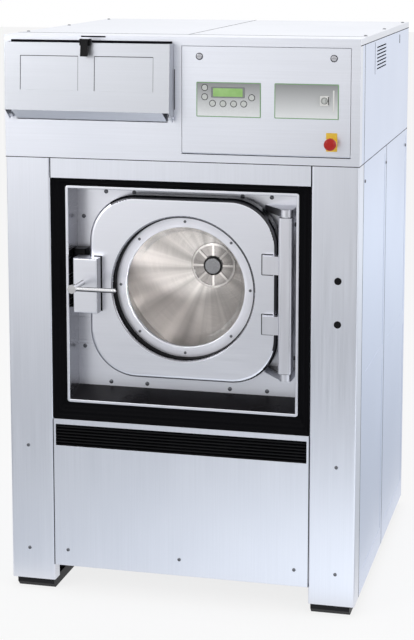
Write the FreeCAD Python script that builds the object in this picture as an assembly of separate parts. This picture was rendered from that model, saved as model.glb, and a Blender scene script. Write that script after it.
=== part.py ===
"""Soft-mounted washer-extractor, front loading, millimetres, +Z up.

The origin is on the floor under the middle of the machine. The front faces -Y.
"""
import FreeCAD, Part
import math
import os

Vector = FreeCAD.Vector
RIGHT = Vector(1, 0, 0)
BACK = Vector(0, 1, 0)
OUT = Vector(0, -1, 0)
UP = Vector(0, 0, 1)

# Cabinet
WIDTH = 1000.0
DEPTH = 1000.0
HEIGHT = 1600.0
SHEET = 1.5
SIDE_SHEET = 2.0
UPPER_BOX_HEIGHT = 341.0
SKID_HEIGHT = 30.0
SKID_WIDTH = 110.0
SKID_INSET = 14.0
SKID_SETBACK = 7.0
SKID_CHAMFER = 14.0
ANCHOR_RADIUS = 7.0
ANCHOR_FROM_END = 90.0
COLUMN_RETURN = 80.0
COLUMN_INNER_RETURN = 40.0
COLUMN_EDGE = 6.0
HEADER_HEIGHT = 56.0
LOWER_PANEL_CLEARANCE = 47.0
PANEL_FLANGE = 18.0
SLOT_HEIGHT = 63.0
SLOT_STRIP = 15.0
SLOT_BORDER = 7.0
GRILLE_DEPTH = 24.0
GRILLE_SLATS = 7
GRILLE_SLAT = 3.0
SIDE_SPLIT = 524.0
FIELD_MARGIN_FRONT = 59.0
FIELD_MARGIN_REAR = 30.0
FIELD_TOP_MARGIN = 21.0
FIELD_UPPER_HEIGHT = 576.0
FIELD_GAP = 42.0
FIELD_LOWER_MARGIN = 60.0
FIELD_PRESS = 0.8
UPPER_RETURN = 40.0
TOP_STRIP = 118.0
TOP_SKIRT = 18.0
LOUVRE_FRONT = 301.0
LOUVRE_LENGTH = 187.0
LOUVRE_BOTTOM = 239.0
LOUVRE_PITCH = 10.0
LOUVRE_SLOT = 4.0
LOUVRE_ROWS = 7
SCREW_RADIUS = 5.0
SCREW_HEAD = 2.5
HEAD_ROUNDING = 0.6
PLUG_RADIUS = 10.0
PLUG_HEAD = 2.0
PLUG_OFF_MIDDLE = 10.0
PLUG_RISES = (53.0, -67.0)
COLUMN_SCREW_INSET = 54.0
COLUMN_SCREW_RISES = (91.0, 397.0)
LOWER_SCREW_INSET = 40.0
LOWER_SCREW_RISE = 47.0
SIDE_SCREW_DROP = 51.0
SIDE_SCREW_FROM_FRONT = 101.0
SIDE_SCREW_FROM_SPLIT = 10.0
SIDE_SCREW_FROM_REAR = 40.0
TOP_SCREW_INSET = 13.0
TOP_SCREW_FROM_STRIP = 47.0
TOP_SCREW_FROM_FRONT = 532.0
TOP_SCREW_FROM_REAR = 55.0

# Base frame and suspension
RAIL_TUBE_WIDTH = 80.0
RAIL_TUBE_HEIGHT = 60.0
RAIL_TUBE_WALL = 4.0
RAIL_TUBE_INSET = 15.0
PEDESTAL_SIDE = 90.0
STRUT_HALF_SPAN = 345.0
STRUT_FRONT = 230.0
STRUT_REAR = 560.0
STRUT_LENGTH = 220.0
STRUT_BELOW_AXIS = 371.0
SPRING_RADIUS = 36.0
SPRING_WIRE = 5.0
SPRING_TURNS = 7
DAMPER_RADIUS = 22.0
DAMPER_LENGTH = 120.0
DAMPER_FLOOR = 20.0
DAMPER_ROD = 8.0
TUB_TRAVEL = 15.0

# Tub
TUB_RADIUS = 390.0
TUB_WALL = 4.0
TUB_BACK = 10.0
BRACKET_PLATE = 12.0
BRACKET_INNER = 250.0
BRACKET_OUTER = 395.0
STUB_WALL = 2.0
FILL_RADIUS = 22.0
FILL_X = -245.0
FILL_DEPTH = 200.0
FILL_STUB_RISE = 349.0
SUMP_RADIUS = 45.0
SUMP_DEPTH = 400.0
SUMP_DROP = 451.0
VALVE_SIDE = 120.0
VALVE_HEIGHT = 100.0
DRAIN_RADIUS = 32.0
DRAIN_PORT = 35.0
DRAIN_OUTLET = 95.0
HOSE_WALL = 3.5
HOSE_OVERLAP = 18.0

# Tub front: frame, plate and gasket
FRAME_SETBACK = 20.0
FRAME_DEPTH = 87.0
FRAME_LIP = 8.5
GASKET_GAP_SIDE = 36.0
GASKET_GAP_BOTTOM = 46.0
GASKET_GAP_TOP = 23.0
GASKET_WALL = 7.0
SILL_RISE = 23.5
FRONT_PLATE = 4.0
TUB_MOUTH_RADIUS = 198.0
PLATE_SCREW_RADIUS = 6.0
PLATE_SCREW_INSET = 18.5
PLATE_SCREW_LOW = 12.0
PLATE_SCREWS_TOP = (-240.0, -157.0, 157.0, 240.0)
PLATE_SCREWS_LOW = (-229.0, -121.5, 121.5, 229.0)
PLATE_SCREWS_SIDE = (-193.0, 186.0)

# Drum and drive
DRUM_RADIUS = 352.0
DRUM_WALL = 3.0
DRUM_FRONT_GAP = 14.0
DRUM_REAR_GAP = 28.0
DRUM_LENGTH = 487.0
DRUM_MOUTH_RADIUS = 200.0
DRUM_HOLE_RADIUS = 5.0
DRUM_HOLE_ROWS = 6
DRUM_HOLES_ROUND = 24
CONE_DEPTH = 198.0
CONE_WALL = 4.0
HUB_RADIUS = 68.0
HUB_PLATE = 12.0
HUB_CAP = 6.0
HUB_BOSS_RADIUS = 29.0
HUB_BOSS = 16.0
HUB_RIBS = 8
HUB_RIB_WIDTH = 7.0
HUB_RIB_HEIGHT = 6.0
SLEEVE_RADIUS = 46.0
SLEEVE_LENGTH = 70.0
LIFTERS = 3
LIFTER_HEIGHT = 70.0
LIFTER_BASE = 96.0
LIFTER_TOP = 36.0
LIFTER_FROM_FRONT = 30.0
LIFTER_FROM_REAR = 64.0
SHAFT_RADIUS = 30.0
BEARING_RADIUS = 65.0
BEARING_WIDTH = 31.0
HOUSING_RADIUS = 85.0
HOUSING_FRONT = 140.0
HOUSING_REAR = 130.0
HOUSING_FLANGE_RADIUS = 150.0
HOUSING_FLANGE = 18.0
HOUSING_END = 10.0
PULLEY_RADIUS = 200.0
PULLEY_RIM = 22.0
PULLEY_WIDTH = 50.0
PULLEY_WEB = 12.0
PULLEY_HUB_RADIUS = 52.0
PULLEY_WINDOWS = 6
PULLEY_WINDOW_RADIUS = 42.0
PULLEY_FROM_HOUSING = 24.0
BELT_WIDTH = 40.0
BELT_THICKNESS = 6.0
MOTOR_RADIUS = 105.0
MOTOR_LENGTH = 260.0
MOTOR_X = 180.0
MOTOR_ABOVE_MIDDLE = 34.5
MOTOR_SHAFT = 14.0
MOTOR_PULLEY_RADIUS = 45.0
MOTOR_FINS = 24
MOTOR_FIN = 6.0
MOTOR_END = 20.0
MOTOR_BRACKET = 10.0
MOTOR_BRACKET_HALF = 62.0

# Door
DOOR_WIDTH = 542.0
DOOR_HEIGHT = 521.0
DOOR_CORNER = 135.0
DOOR_DEPTH = 45.0
DOOR_GAP = 20.0
DOOR_CLEAR_TOP = 17.0
DOOR_CLEAR_BOTTOM = 69.0
DOOR_CLEAR_SIDE = 54.5
DOOR_SHEET = 3.0
DOOR_EDGE = 12.0
PORTHOLE_RADIUS = 203.5
PORTHOLE_ROLL = 5.0
GLASS_VISIBLE_RADIUS = 171.0
GLASS_WALL = 6.0
GLASS_BOWL = 42.0
GLASS_BOWL_RADIUS = 150.0
RING_THICKNESS = 6.0
RING_SCREWS = 8
RING_SCREW_RADIUS = 4.0
SEAL_INNER = 204.0
SEAL_OUTER = 234.0
HINGE_BAR_WIDTH = 38.0
HINGE_BAR_DEPTH = 40.0
HINGE_BAR_EDGE = 7.0
HINGE_BAR_HEIGHT = 434.0
HINGE_FROM_DOOR = 25.5
HINGE_DEPTH = 32.0
HINGE_PIN = 8.0
HINGE_PIN_LENGTH = 22.0
HINGE_END_GAP = 2.0
HINGE_LUG = 20.0
HINGE_LUG_WIDTH = 35.0
HINGE_GUSSET = 58.0
ARM_REACH = 64.0
ARM_HEIGHT = 51.0
ARM_HALF_SPAN = 84.0
ARM_FRONT = 14.0

# Latch
LATCH_WIDTH = 71.0
LATCH_HEIGHT = 156.0
LATCH_FRONT = 40.0
LATCH_OVERHANG = 36.0
LATCH_HEEL = 13.0
LATCH_EDGE = 4.0
LATCH_BELOW_SPINDLE = 87.0
SPINDLE_RADIUS = 7.0
SPINDLE_FROM_EDGE = 28.0
SPINDLE_ABOVE_AXIS = 14.0
HANDLE_REACH = 97.0
HANDLE_HUB_RADIUS = 12.0
HANDLE_HUB = 20.0
LEVER_RADIUS = 6.5
LEVER_LENGTH = 125.0
TONGUE_LENGTH = 38.0
TONGUE_THICKNESS = 9.0
TONGUE_SETBACK = 15.0
LOCK_WIDTH = 34.0
LOCK_DEPTH = 46.0
LOCK_HEIGHT = 170.0
LOCK_SLOT_CLEARANCE = 3.0

# Hopper and its lid
LID_FROM_SIDE = 18.0
LID_FROM_MIDDLE = 12.0
LID_HEIGHT = 186.0
LID_TOP_MARGIN = 18.0
LID_PROUD = 42.0
LID_LEAN = 10.0
LID_SHEET = 1.5
LID_TOP_RETURN = 9.0
LID_BACK_GAP = 2.0
LID_PRESS = 0.7
LID_FIELD_WIDTH = 166.0
LID_FIELD_HEIGHT = 94.0
LID_FIELD_SPAN = 213.0
LID_FIELD_DROP = 36.0
LID_RETURN_INSET = 16.0
LID_RETURN_DROP = 28.0
LID_MOUTH_DROP = 2.5
LID_PIN = 3.0
LID_PIN_PROUD = 15.0
LID_PIN_DROP = 16.0
LID_LUG = 9.0
LID_LUG_RADIUS = 6.0
GRIP_WIDTH = 20.0
GRIP_LENGTH = 38.0
GRIP_THICKNESS = 6.0
GRIP_BOSS = 9.0
GRIP_RISE = 3.0
GRIP_PIN = 2.5
GRIP_PROUD = 10.5
GRIP_EAR = 5.0
HOPPER_DEPTH = 280.0
HOPPER_BELOW_MOUTH = 27.0
HOPPER_WALL = 2.0
HOPPER_COMPARTMENTS = 3
HOPPER_HEIGHT = 220.0
HOPPER_SPOUT = 30.0

# Control door
PANEL_LEFT = 11.0
PANEL_FROM_SIDE = 26.0
PANEL_HEIGHT = 293.0
PANEL_ABOVE_SEAM = 23.0
PANEL_SHEET = 2.0
PANEL_GAP = 1.2
PANEL_RETURN = 18.0
PANEL_BARREL = 4.0
PANEL_PIN = 2.0
PANEL_PIN_LENGTH = 14.0
PANEL_LUG = 6.0
OVERLAY_WIDTH = 176.0
OVERLAY_HEIGHT = 92.0
OVERLAY_LEFT = 42.0
OVERLAY_BOTTOM = 104.0
OVERLAY_SHEET = 1.2
INFO_GAP = 40.0
INFO_FROM_RIGHT = 33.0
DISPLAY_WIDTH = 93.0
DISPLAY_HEIGHT = 29.0
DISPLAY_LEFT = 40.0
DISPLAY_BOTTOM = 51.3
DISPLAY_PROUD = 1.0
KEY_RADIUS = 7.5
KEY_PROUD = 1.4
KEY_TRAVEL = 1.0
KEY_STEM = 3.0
KEY_GAP = 0.2
KEY_PLACES = [(22, 78), (22, 53), (44, 35.5), (73, 35), (102.5, 35), (130.5, 35.5), (152.5, 53)]
BOARD_STANDOFF = 6.7
BOARD_SHEET = 1.6
BOARD_POST = 3.0
BOARD_POST_INSET = 10.0
SWITCH_WIDTH = 25.0
SWITCH_HEIGHT = 27.0
SWITCH_FROM_RIGHT = 69.5
SWITCH_BOTTOM = 153.0
SWITCH_PROUD = 4.0
SWITCH_ROTOR = 8.0
SWITCH_BODY = 14.0
SWITCH_KNOB = 5.0
LOCK_HEAD = 8.0
LOCK_HEAD_PROUD = 2.5
LOCK_STEM = 4.0
LOCK_STEM_LENGTH = 12.0
LOCK_FROM_LEFT = 49.0
LOCK_FROM_RIGHT = 45.5
LOCK_FROM_TOP = 27.0
LOCK_SCREW_SLOT = 2.0
STOP_PLATE_WIDTH = 30.0
STOP_PLATE_HEIGHT = 50.0
STOP_PLATE = 2.0
STOP_FROM_RIGHT = 50.0
STOP_Z = 39.0
STOP_PLATE_RISE = 3.0
STOP_RADIUS = 16.5
STOP_HEAD = 16.0
STOP_COLLAR = 14.5
STOP_COLLAR_PROUD = 12.0
STOP_STEM = 9.0
STOP_TRAVEL = 6.0
STOP_TRAVEL_SPARE = 1.5
STOP_BODY = 34.0

# Services at the back
INLET_RADIUS = 13.0
INLET_LENGTH = 45.0
INLET_COUNT = 3
INLET_PITCH = 100.0
INLET_FIRST_X = -300.0
INLET_BELOW_TOP = 150.0
INLET_BODY = 50.0
INVERTER_WIDTH = 200.0
INVERTER_DEPTH = 300.0
INVERTER_HEIGHT = 150.0
INVERTER_FROM_FRONT = 500.0
INVERTER_BELOW_TOP = 120.0

# Fits
RUNNING = 0.05
SEAT = 0.3
HOLE_EASE = 1.0
SAME = 1e-6

# Places worked out from the sizes above
HALF = WIDTH / 2
FRONT = -DEPTH / 2
REAR = DEPTH / 2
SEAM_Z = HEIGHT - UPPER_BOX_HEIGHT
DOOR_HALF = DOOR_WIDTH / 2
FRAME_HALF = DOOR_HALF + DOOR_CLEAR_SIDE + FRAME_LIP
OPENING_HALF = FRAME_HALF + GASKET_GAP_SIDE
COLUMN_MIDDLE = (OPENING_HALF + HALF) / 2
OPENING_TOP = SEAM_Z - HEADER_HEIGHT
FRAME_TOP = OPENING_TOP - GASKET_GAP_TOP
DRUM_AXIS_Z = FRAME_TOP - FRAME_LIP - DOOR_CLEAR_TOP - DOOR_HEIGHT / 2
FRAME_BOTTOM = DRUM_AXIS_Z - DOOR_HEIGHT / 2 - DOOR_CLEAR_BOTTOM - FRAME_LIP
OPENING_BOTTOM = FRAME_BOTTOM - GASKET_GAP_BOTTOM
FRAME_FRONT = FRONT + FRAME_SETBACK
PLATE_FRONT = FRAME_FRONT + FRAME_DEPTH
PLATE_BACK = PLATE_FRONT + FRONT_PLATE
DRUM_FRONT = PLATE_BACK + DRUM_FRONT_GAP
DRUM_REAR = DRUM_FRONT + DRUM_LENGTH
TUB_REAR = DRUM_REAR + DRUM_REAR_GAP
TUB_END = TUB_REAR + TUB_BACK
FILL_STUB_TOP = DRUM_AXIS_Z + FILL_STUB_RISE
SUMP_BOTTOM = DRUM_AXIS_Z - SUMP_DROP
DOOR_BACK = PLATE_FRONT - DOOR_GAP
DOOR_FRONT = DOOR_BACK - DOOR_DEPTH
RAIL_TOP = SKID_HEIGHT + RAIL_TUBE_HEIGHT
RAIL_OUTER = HALF - RAIL_TUBE_INSET
RAIL_INNER = RAIL_OUTER - RAIL_TUBE_WIDTH
STRUT_TOP = DRUM_AXIS_Z - STRUT_BELOW_AXIS
STRUT_BOTTOM = STRUT_TOP - STRUT_LENGTH
STRUTS = [(x, FRONT + y) for x in (-STRUT_HALF_SPAN, STRUT_HALF_SPAN) for y in (STRUT_FRONT, STRUT_REAR)]
HUB_FRONT = DRUM_REAR - CONE_DEPTH
HOUSING_START = TUB_END - HOUSING_FRONT
HOUSING_STOP = TUB_END + HOUSING_REAR
PULLEY_FRONT = HOUSING_STOP + PULLEY_FROM_HOUSING
PULLEY_BACK = PULLEY_FRONT + PULLEY_WIDTH
MOTOR_Z = (RAIL_TOP + DRUM_AXIS_Z - TUB_RADIUS) / 2 + MOTOR_ABOVE_MIDDLE
DRAIN_Z = SUMP_BOTTOM - VALVE_HEIGHT / 2
HINGE_X = DOOR_HALF + HINGE_FROM_DOOR
HINGE_Y = FRONT + HINGE_DEPTH
LATCH_LEFT = -DOOR_HALF - LATCH_OVERHANG
LATCH_RIGHT = LATCH_LEFT + LATCH_WIDTH
LATCH_Y = DOOR_FRONT - LATCH_FRONT
SPINDLE_X = LATCH_LEFT + SPINDLE_FROM_EDGE
SPINDLE_Z = DRUM_AXIS_Z + SPINDLE_ABOVE_AXIS
TONGUE_FRONT = DOOR_FRONT + LATCH_HEEL + TONGUE_SETBACK
TONGUE_BACK = TONGUE_FRONT + TONGUE_THICKNESS
LID_LEFT = LID_FROM_SIDE - HALF
LID_RIGHT = -LID_FROM_MIDDLE
LID_TOP = HEIGHT - LID_TOP_MARGIN
LID_BOTTOM = LID_TOP - LID_HEIGHT
LID_PIN_Z = LID_BOTTOM - LID_PIN_DROP
LID_PIN_Y = FRONT - LID_PIN_PROUD
MOUTH_BOTTOM = LID_BOTTOM - LID_RETURN_DROP - LID_MOUTH_DROP
MOUTH_LEFT = LID_LEFT + LID_RETURN_INSET
MOUTH_RIGHT = LID_RIGHT - LID_RETURN_INSET
GRIP_X = (LID_LEFT + LID_RIGHT) / 2
GRIP_Z = LID_TOP + GRIP_RISE
GRIP_Y = FRONT - LID_PROUD - GRIP_PROUD
PANEL_RIGHT = HALF - PANEL_FROM_SIDE
PANEL_BOTTOM = SEAM_Z + PANEL_ABOVE_SEAM
PANEL_TOP = PANEL_BOTTOM + PANEL_HEIGHT
BARREL_Y = FRONT + PANEL_BARREL
BARREL_Z = PANEL_BOTTOM + PANEL_BARREL
STOP_PLACE = (PANEL_RIGHT - STOP_FROM_RIGHT, PANEL_BOTTOM + STOP_Z)
SWITCH_PLACE = (PANEL_RIGHT - SWITCH_FROM_RIGHT, PANEL_BOTTOM + SWITCH_BOTTOM)
LOCK_Z = PANEL_TOP - LOCK_FROM_TOP


def box(x, y, z):
    """A block between pairs of limits."""
    return Part.makeBox(x[1] - x[0], y[1] - y[0], z[1] - z[0], Vector(x[0], y[0], z[0]))


def rod(radius, start, length, axis=BACK):
    """A round bar from its start point along an axis."""
    return Part.makeCylinder(radius, length, Vector(*start), axis)


def tube(outer, inner, start, length, axis=BACK):
    """A round pipe from its start point along an axis."""
    return rod(outer, start, length, axis).cut(rod(inner, start, length, axis))


def side_span(side, inner, outer):
    """Limits along X on the left (-1) or right (+1) side of the machine."""
    return (inner, outer) if side > 0 else (-outer, -inner)


def prism_x(points, x):
    """A (y, z) outline drawn out along X."""
    corners = [Vector(x[0], y, z) for y, z in points]
    return Part.Face(Part.makePolygon(corners + corners[:1])).extrude(RIGHT * (x[1] - x[0]))


def prism_y(points, y):
    """An (x, z) outline drawn out along Y."""
    corners = [Vector(x, y[0], z) for x, z in points]
    return Part.Face(Part.makePolygon(corners + corners[:1])).extrude(BACK * (y[1] - y[0]))


def prism_z(points, z):
    """An (x, y) outline drawn out along Z."""
    corners = [Vector(x, y, z[0]) for x, y in points]
    return Part.Face(Part.makePolygon(corners + corners[:1])).extrude(UP * (z[1] - z[0]))


def turned(points):
    """A (radius, y) outline turned about the drum's axis."""
    corners = [Vector(radius, y, DRUM_AXIS_Z) for radius, y in points]
    face = Part.Face(Part.makePolygon(corners + corners[:1]))
    return face.revolve(Vector(0, 0, DRUM_AXIS_Z), BACK, 360)


def edges_along(shape, axis):
    """The straight edges of a shape that run along an axis."""
    straight = [edge for edge in shape.Edges if isinstance(edge.Curve, Part.Line)]
    return [edge for edge in straight if edge.tangentAt(edge.FirstParameter).cross(axis).Length < SAME]


def rounded_y(x, y, z, radius):
    """A block along Y with its four long edges rounded."""
    block = box(x, y, z)
    return block.makeFillet(radius, edges_along(block, BACK))


def rounded_z(x, y, z, radius):
    """A block along Z with its four upright edges rounded."""
    block = box(x, y, z)
    return block.makeFillet(radius, edges_along(block, UP))


def join(first, *others):
    """One solid from several that meet."""
    return first.fuse(list(others)).removeSplitter()


def screw_head(place, axis, radius=SCREW_RADIUS, height=SCREW_HEAD):
    """A low round head that sits on a face and points along an axis."""
    head = rod(radius, place, height, axis)
    circles = [edge for edge in head.Edges if edge.isClosed()]
    rim = [edge for edge in circles if edge.CenterOfMass.sub(Vector(*place)).dot(axis) > height / 2]
    return head.makeFillet(HEAD_ROUNDING * height, rim)


def group(pieces):
    """Separate solids kept in one node."""
    return Part.makeCompound(list(pieces))


# Cabinet

def skid_rails():
    pieces = []
    for side in (-1, 1):
        outer = HALF - SKID_INSET
        x = side_span(side, outer - SKID_WIDTH, outer)
        start = FRONT + SKID_SETBACK
        stop = REAR - SKID_SETBACK
        outline = [
            (start, SKID_CHAMFER), (start, SKID_HEIGHT), (stop, SKID_HEIGHT),
            (stop, 0), (start + SKID_CHAMFER, 0),
        ]
        skid = prism_x(outline, x)
        for x_hole, y_hole in anchor_places():
            skid = skid.cut(rod(ANCHOR_RADIUS, (x_hole, y_hole, 0), SKID_HEIGHT, UP))
        pieces.append(skid)
    return group(pieces)


def anchor_places():
    """Where the four floor anchors pass through skid and rail."""
    x = HALF - SKID_INSET - SKID_WIDTH / 2
    y = REAR - ANCHOR_FROM_END
    return [(sx * x, sy * y) for sx in (-1, 1) for sy in (-1, 1)]


def base_frame():
    wall = RAIL_TUBE_WALL
    y = (FRONT + SHEET, REAR - SHEET)
    z = (SKID_HEIGHT, RAIL_TOP)
    hollow_z = (SKID_HEIGHT + wall, RAIL_TOP - wall)
    pieces = []
    for side in (-1, 1):
        rail = box(side_span(side, RAIL_INNER, RAIL_OUTER), y, z)
        inside = side_span(side, RAIL_INNER + wall, RAIL_OUTER - wall)
        rail = rail.cut(box(inside, y, hollow_z))
        for x_hole, y_hole in anchor_places():
            rail = rail.cut(rod(ANCHOR_RADIUS, (x_hole, y_hole, z[0]), RAIL_TUBE_HEIGHT, UP))
        pieces.append(rail)
    half = PEDESTAL_SIDE / 2
    for strut_y in (FRONT + STRUT_FRONT, FRONT + STRUT_REAR):
        beam_x = (-RAIL_INNER, RAIL_INNER)
        beam = box(beam_x, (strut_y - half, strut_y + half), z)
        hollow_y = (strut_y - half + wall, strut_y + half - wall)
        pieces.append(beam.cut(box(beam_x, hollow_y, hollow_z)))
    for x, strut_y in STRUTS:
        post = box((x - half, x + half), (strut_y - half, strut_y + half), (RAIL_TOP, STRUT_BOTTOM))
        hollow = box(
            (x - half + wall, x + half - wall),
            (strut_y - half + wall, strut_y + half - wall),
            (RAIL_TOP, STRUT_BOTTOM - wall),
        )
        pieces.append(post.cut(hollow))
    return group(pieces)


def column_covers():
    pieces = []
    z = (SKID_HEIGHT, SEAM_Z)
    for side in (-1, 1):
        block = box(side_span(side, OPENING_HALF, HALF), (FRONT, FRONT + COLUMN_RETURN), z)
        front_edges = [edge for edge in edges_along(block, UP) if abs(edge.CenterOfMass.y - FRONT) < SAME]
        block = block.makeFillet(COLUMN_EDGE, front_edges)
        inside = side_span(side, OPENING_HALF + SHEET, HALF - SHEET)
        block = block.cut(box(inside, (FRONT + COLUMN_EDGE, FRONT + COLUMN_RETURN), z))
        narrow = side_span(side, OPENING_HALF + COLUMN_EDGE, HALF - COLUMN_EDGE)
        block = block.cut(box(narrow, (FRONT + SHEET, FRONT + COLUMN_EDGE), z))
        beyond = (FRONT + COLUMN_INNER_RETURN, FRONT + COLUMN_RETURN)
        block = block.cut(box(side_span(side, OPENING_HALF, OPENING_HALF + SHEET), beyond, z))
        pieces.append(block)
    return group(pieces)


def folded_panel(x, z):
    """A front sheet with a flange folded back along its top and bottom edges."""
    sheet = box(x, (FRONT, FRONT + SHEET), z)
    flange = (FRONT, FRONT + PANEL_FLANGE)
    lower = box(x, flange, (z[0], z[0] + SHEET))
    upper = box(x, flange, (z[1] - SHEET, z[1]))
    return join(sheet, lower, upper)


def slot_limits():
    """Limits of the air slot along X and Z."""
    top = OPENING_BOTTOM - SLOT_STRIP
    half = OPENING_HALF - SLOT_BORDER
    return (-half, half), (top - SLOT_HEIGHT, top)


def front_panels():
    x = (-OPENING_HALF, OPENING_HALF)
    header = folded_panel(x, (OPENING_TOP, SEAM_Z))
    lower = folded_panel(x, (SKID_HEIGHT + LOWER_PANEL_CLEARANCE, OPENING_BOTTOM))
    slot_x, slot_z = slot_limits()
    lower = lower.cut(box(slot_x, (FRONT, FRONT + SHEET), slot_z))
    return group([header, lower])


def intake_grille():
    slot_x, slot_z = slot_limits()
    y = (FRONT + SHEET, FRONT + SHEET + GRILLE_DEPTH)
    frame_x = (slot_x[0] - SLOT_BORDER / 2, slot_x[1] + SLOT_BORDER / 2)
    frame_z = (slot_z[0] - SLOT_BORDER, slot_z[1] + SLOT_BORDER)
    frame = box(frame_x, y, frame_z)
    grille = frame.cut(box(slot_x, y, slot_z))
    pitch = SLOT_HEIGHT / GRILLE_SLATS
    slats = []
    for number in range(GRILLE_SLATS):
        z = slot_z[0] + number * pitch
        outline = [(y[0], z), (y[0], z + GRILLE_SLAT), (y[1], z + pitch), (y[1], z + pitch - GRILLE_SLAT)]
        slats.append(prism_x(outline, frame_x))
    return join(grille, *slats)


def lower_side_panel(side, y):
    skin = side_span(side, HALF - SIDE_SHEET, HALF)
    panel = box(skin, y, (SKID_HEIGHT, SEAM_Z))
    pressed = side_span(side, HALF - FIELD_PRESS, HALF)
    field_y = (y[0] + FIELD_MARGIN_FRONT, y[1] - FIELD_MARGIN_REAR)
    upper_top = SEAM_Z - FIELD_TOP_MARGIN
    upper_bottom = upper_top - FIELD_UPPER_HEIGHT
    panel = panel.cut(box(pressed, field_y, (upper_bottom, upper_top)))
    lower_z = (SKID_HEIGHT + FIELD_LOWER_MARGIN, upper_bottom - FIELD_GAP)
    return panel.cut(box(pressed, field_y, lower_z))


def upper_side_panel(side):
    skin = side_span(side, HALF - SIDE_SHEET, HALF)
    panel = box(skin, (FRONT + UPPER_RETURN, REAR - SHEET), (SEAM_Z, HEIGHT - TOP_SKIRT))
    for row in range(LOUVRE_ROWS):
        z = SEAM_Z + LOUVRE_BOTTOM + row * LOUVRE_PITCH
        y = FRONT + LOUVRE_FRONT
        panel = panel.cut(box(skin, (y, y + LOUVRE_LENGTH), (z, z + LOUVRE_SLOT)))
    return panel


def side_panels():
    split = FRONT + SIDE_SPLIT
    pieces = []
    for side in (-1, 1):
        pieces.append(lower_side_panel(side, (FRONT + COLUMN_RETURN, split)))
        pieces.append(lower_side_panel(side, (split, REAR - SHEET)))
        pieces.append(upper_side_panel(side))
    return group(pieces)


def inlet_places():
    z = HEIGHT - INLET_BELOW_TOP
    return [(INLET_FIRST_X + number * INLET_PITCH, z) for number in range(INLET_COUNT)]


def rear_panels():
    y = (REAR - SHEET, REAR)
    lower = box((-HALF, HALF), y, (SKID_HEIGHT, SEAM_Z))
    lower = lower.cut(rod(DRAIN_RADIUS + HOLE_EASE, (0, y[0], DRAIN_Z), SHEET))
    upper = box((-HALF, HALF), y, (SEAM_Z, HEIGHT - SHEET))
    for x, z in inlet_places():
        upper = upper.cut(rod(INLET_RADIUS + HOLE_EASE, (x, y[0], z), SHEET))
    return group([lower, upper])


def upper_front_frame():
    front = (FRONT, FRONT + SHEET)
    frame = box((-HALF, HALF), front, (SEAM_Z, HEIGHT))
    strip = box((-HALF, HALF), (FRONT, FRONT + TOP_STRIP), (HEIGHT - SHEET, HEIGHT))
    shelf = box((-HALF, HALF), (FRONT, FRONT + PANEL_FLANGE), (SEAM_Z, SEAM_Z + SHEET))
    parts = [strip, shelf]
    for side in (-1, 1):
        skin = side_span(side, HALF - SIDE_SHEET, HALF)
        parts.append(box(skin, (FRONT, FRONT + UPPER_RETURN), (SEAM_Z, HEIGHT)))
        parts.append(box(skin, (FRONT, FRONT + TOP_STRIP), (HEIGHT - TOP_SKIRT, HEIGHT)))
    frame = join(frame, *parts)
    frame = frame.cut(box((MOUTH_LEFT, MOUTH_RIGHT), front, (MOUTH_BOTTOM, LID_TOP)))
    gap = PANEL_GAP
    frame = frame.cut(box(
        (PANEL_LEFT - gap, PANEL_RIGHT + gap), front, (PANEL_BOTTOM - gap, PANEL_TOP + gap)))
    return join(frame, *lid_lugs(), *panel_lugs())


def lid_lugs():
    """Ears on the box front, with the pins that the lid turns on."""
    lugs = []
    for cheek, inward in ((LID_LEFT, 1), (LID_RIGHT, -1)):
        inner = cheek + inward * (LID_SHEET + SEAT)
        x = sorted((inner, inner + inward * LID_LUG))
        block = box(x, (LID_PIN_Y, FRONT), (LID_PIN_Z - LID_LUG_RADIUS, LID_PIN_Z + LID_LUG_RADIUS))
        eye = rod(LID_LUG_RADIUS, (x[0], LID_PIN_Y, LID_PIN_Z), LID_LUG, RIGHT)
        start = min(inner, cheek - inward * 2 * LID_SHEET)
        length = abs(inner - cheek) + 2 * LID_SHEET
        pin = rod(LID_PIN, (start, LID_PIN_Y, LID_PIN_Z), length, RIGHT)
        lugs += [block, eye, pin]
    return lugs


def panel_lugs():
    """Blocks behind the box front, with the pins that the control door turns on."""
    lugs = []
    half = PANEL_BARREL
    for edge, inward in ((PANEL_LEFT, 1), (PANEL_RIGHT, -1)):
        face = edge - inward * PANEL_GAP
        x = sorted((face, face - inward * PANEL_LUG))
        block = box(x, (FRONT, BARREL_Y + half), (BARREL_Z - half, BARREL_Z + half))
        start = min(face, face + inward * PANEL_PIN_LENGTH)
        pin = rod(PANEL_PIN, (start, BARREL_Y, BARREL_Z), PANEL_PIN_LENGTH, RIGHT)
        lugs += [block, pin]
    return lugs


def top_covers():
    y = (FRONT + TOP_STRIP, REAR)
    pieces = []
    for side in (-1, 1):
        cover = box(side_span(side, 0, HALF), y, (HEIGHT - SHEET, HEIGHT))
        skin = side_span(side, HALF - SIDE_SHEET, HALF)
        skirt = box(skin, (y[0], REAR - SHEET), (HEIGHT - TOP_SKIRT, HEIGHT))
        pieces.append(join(cover, skirt))
    return group(pieces)


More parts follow.
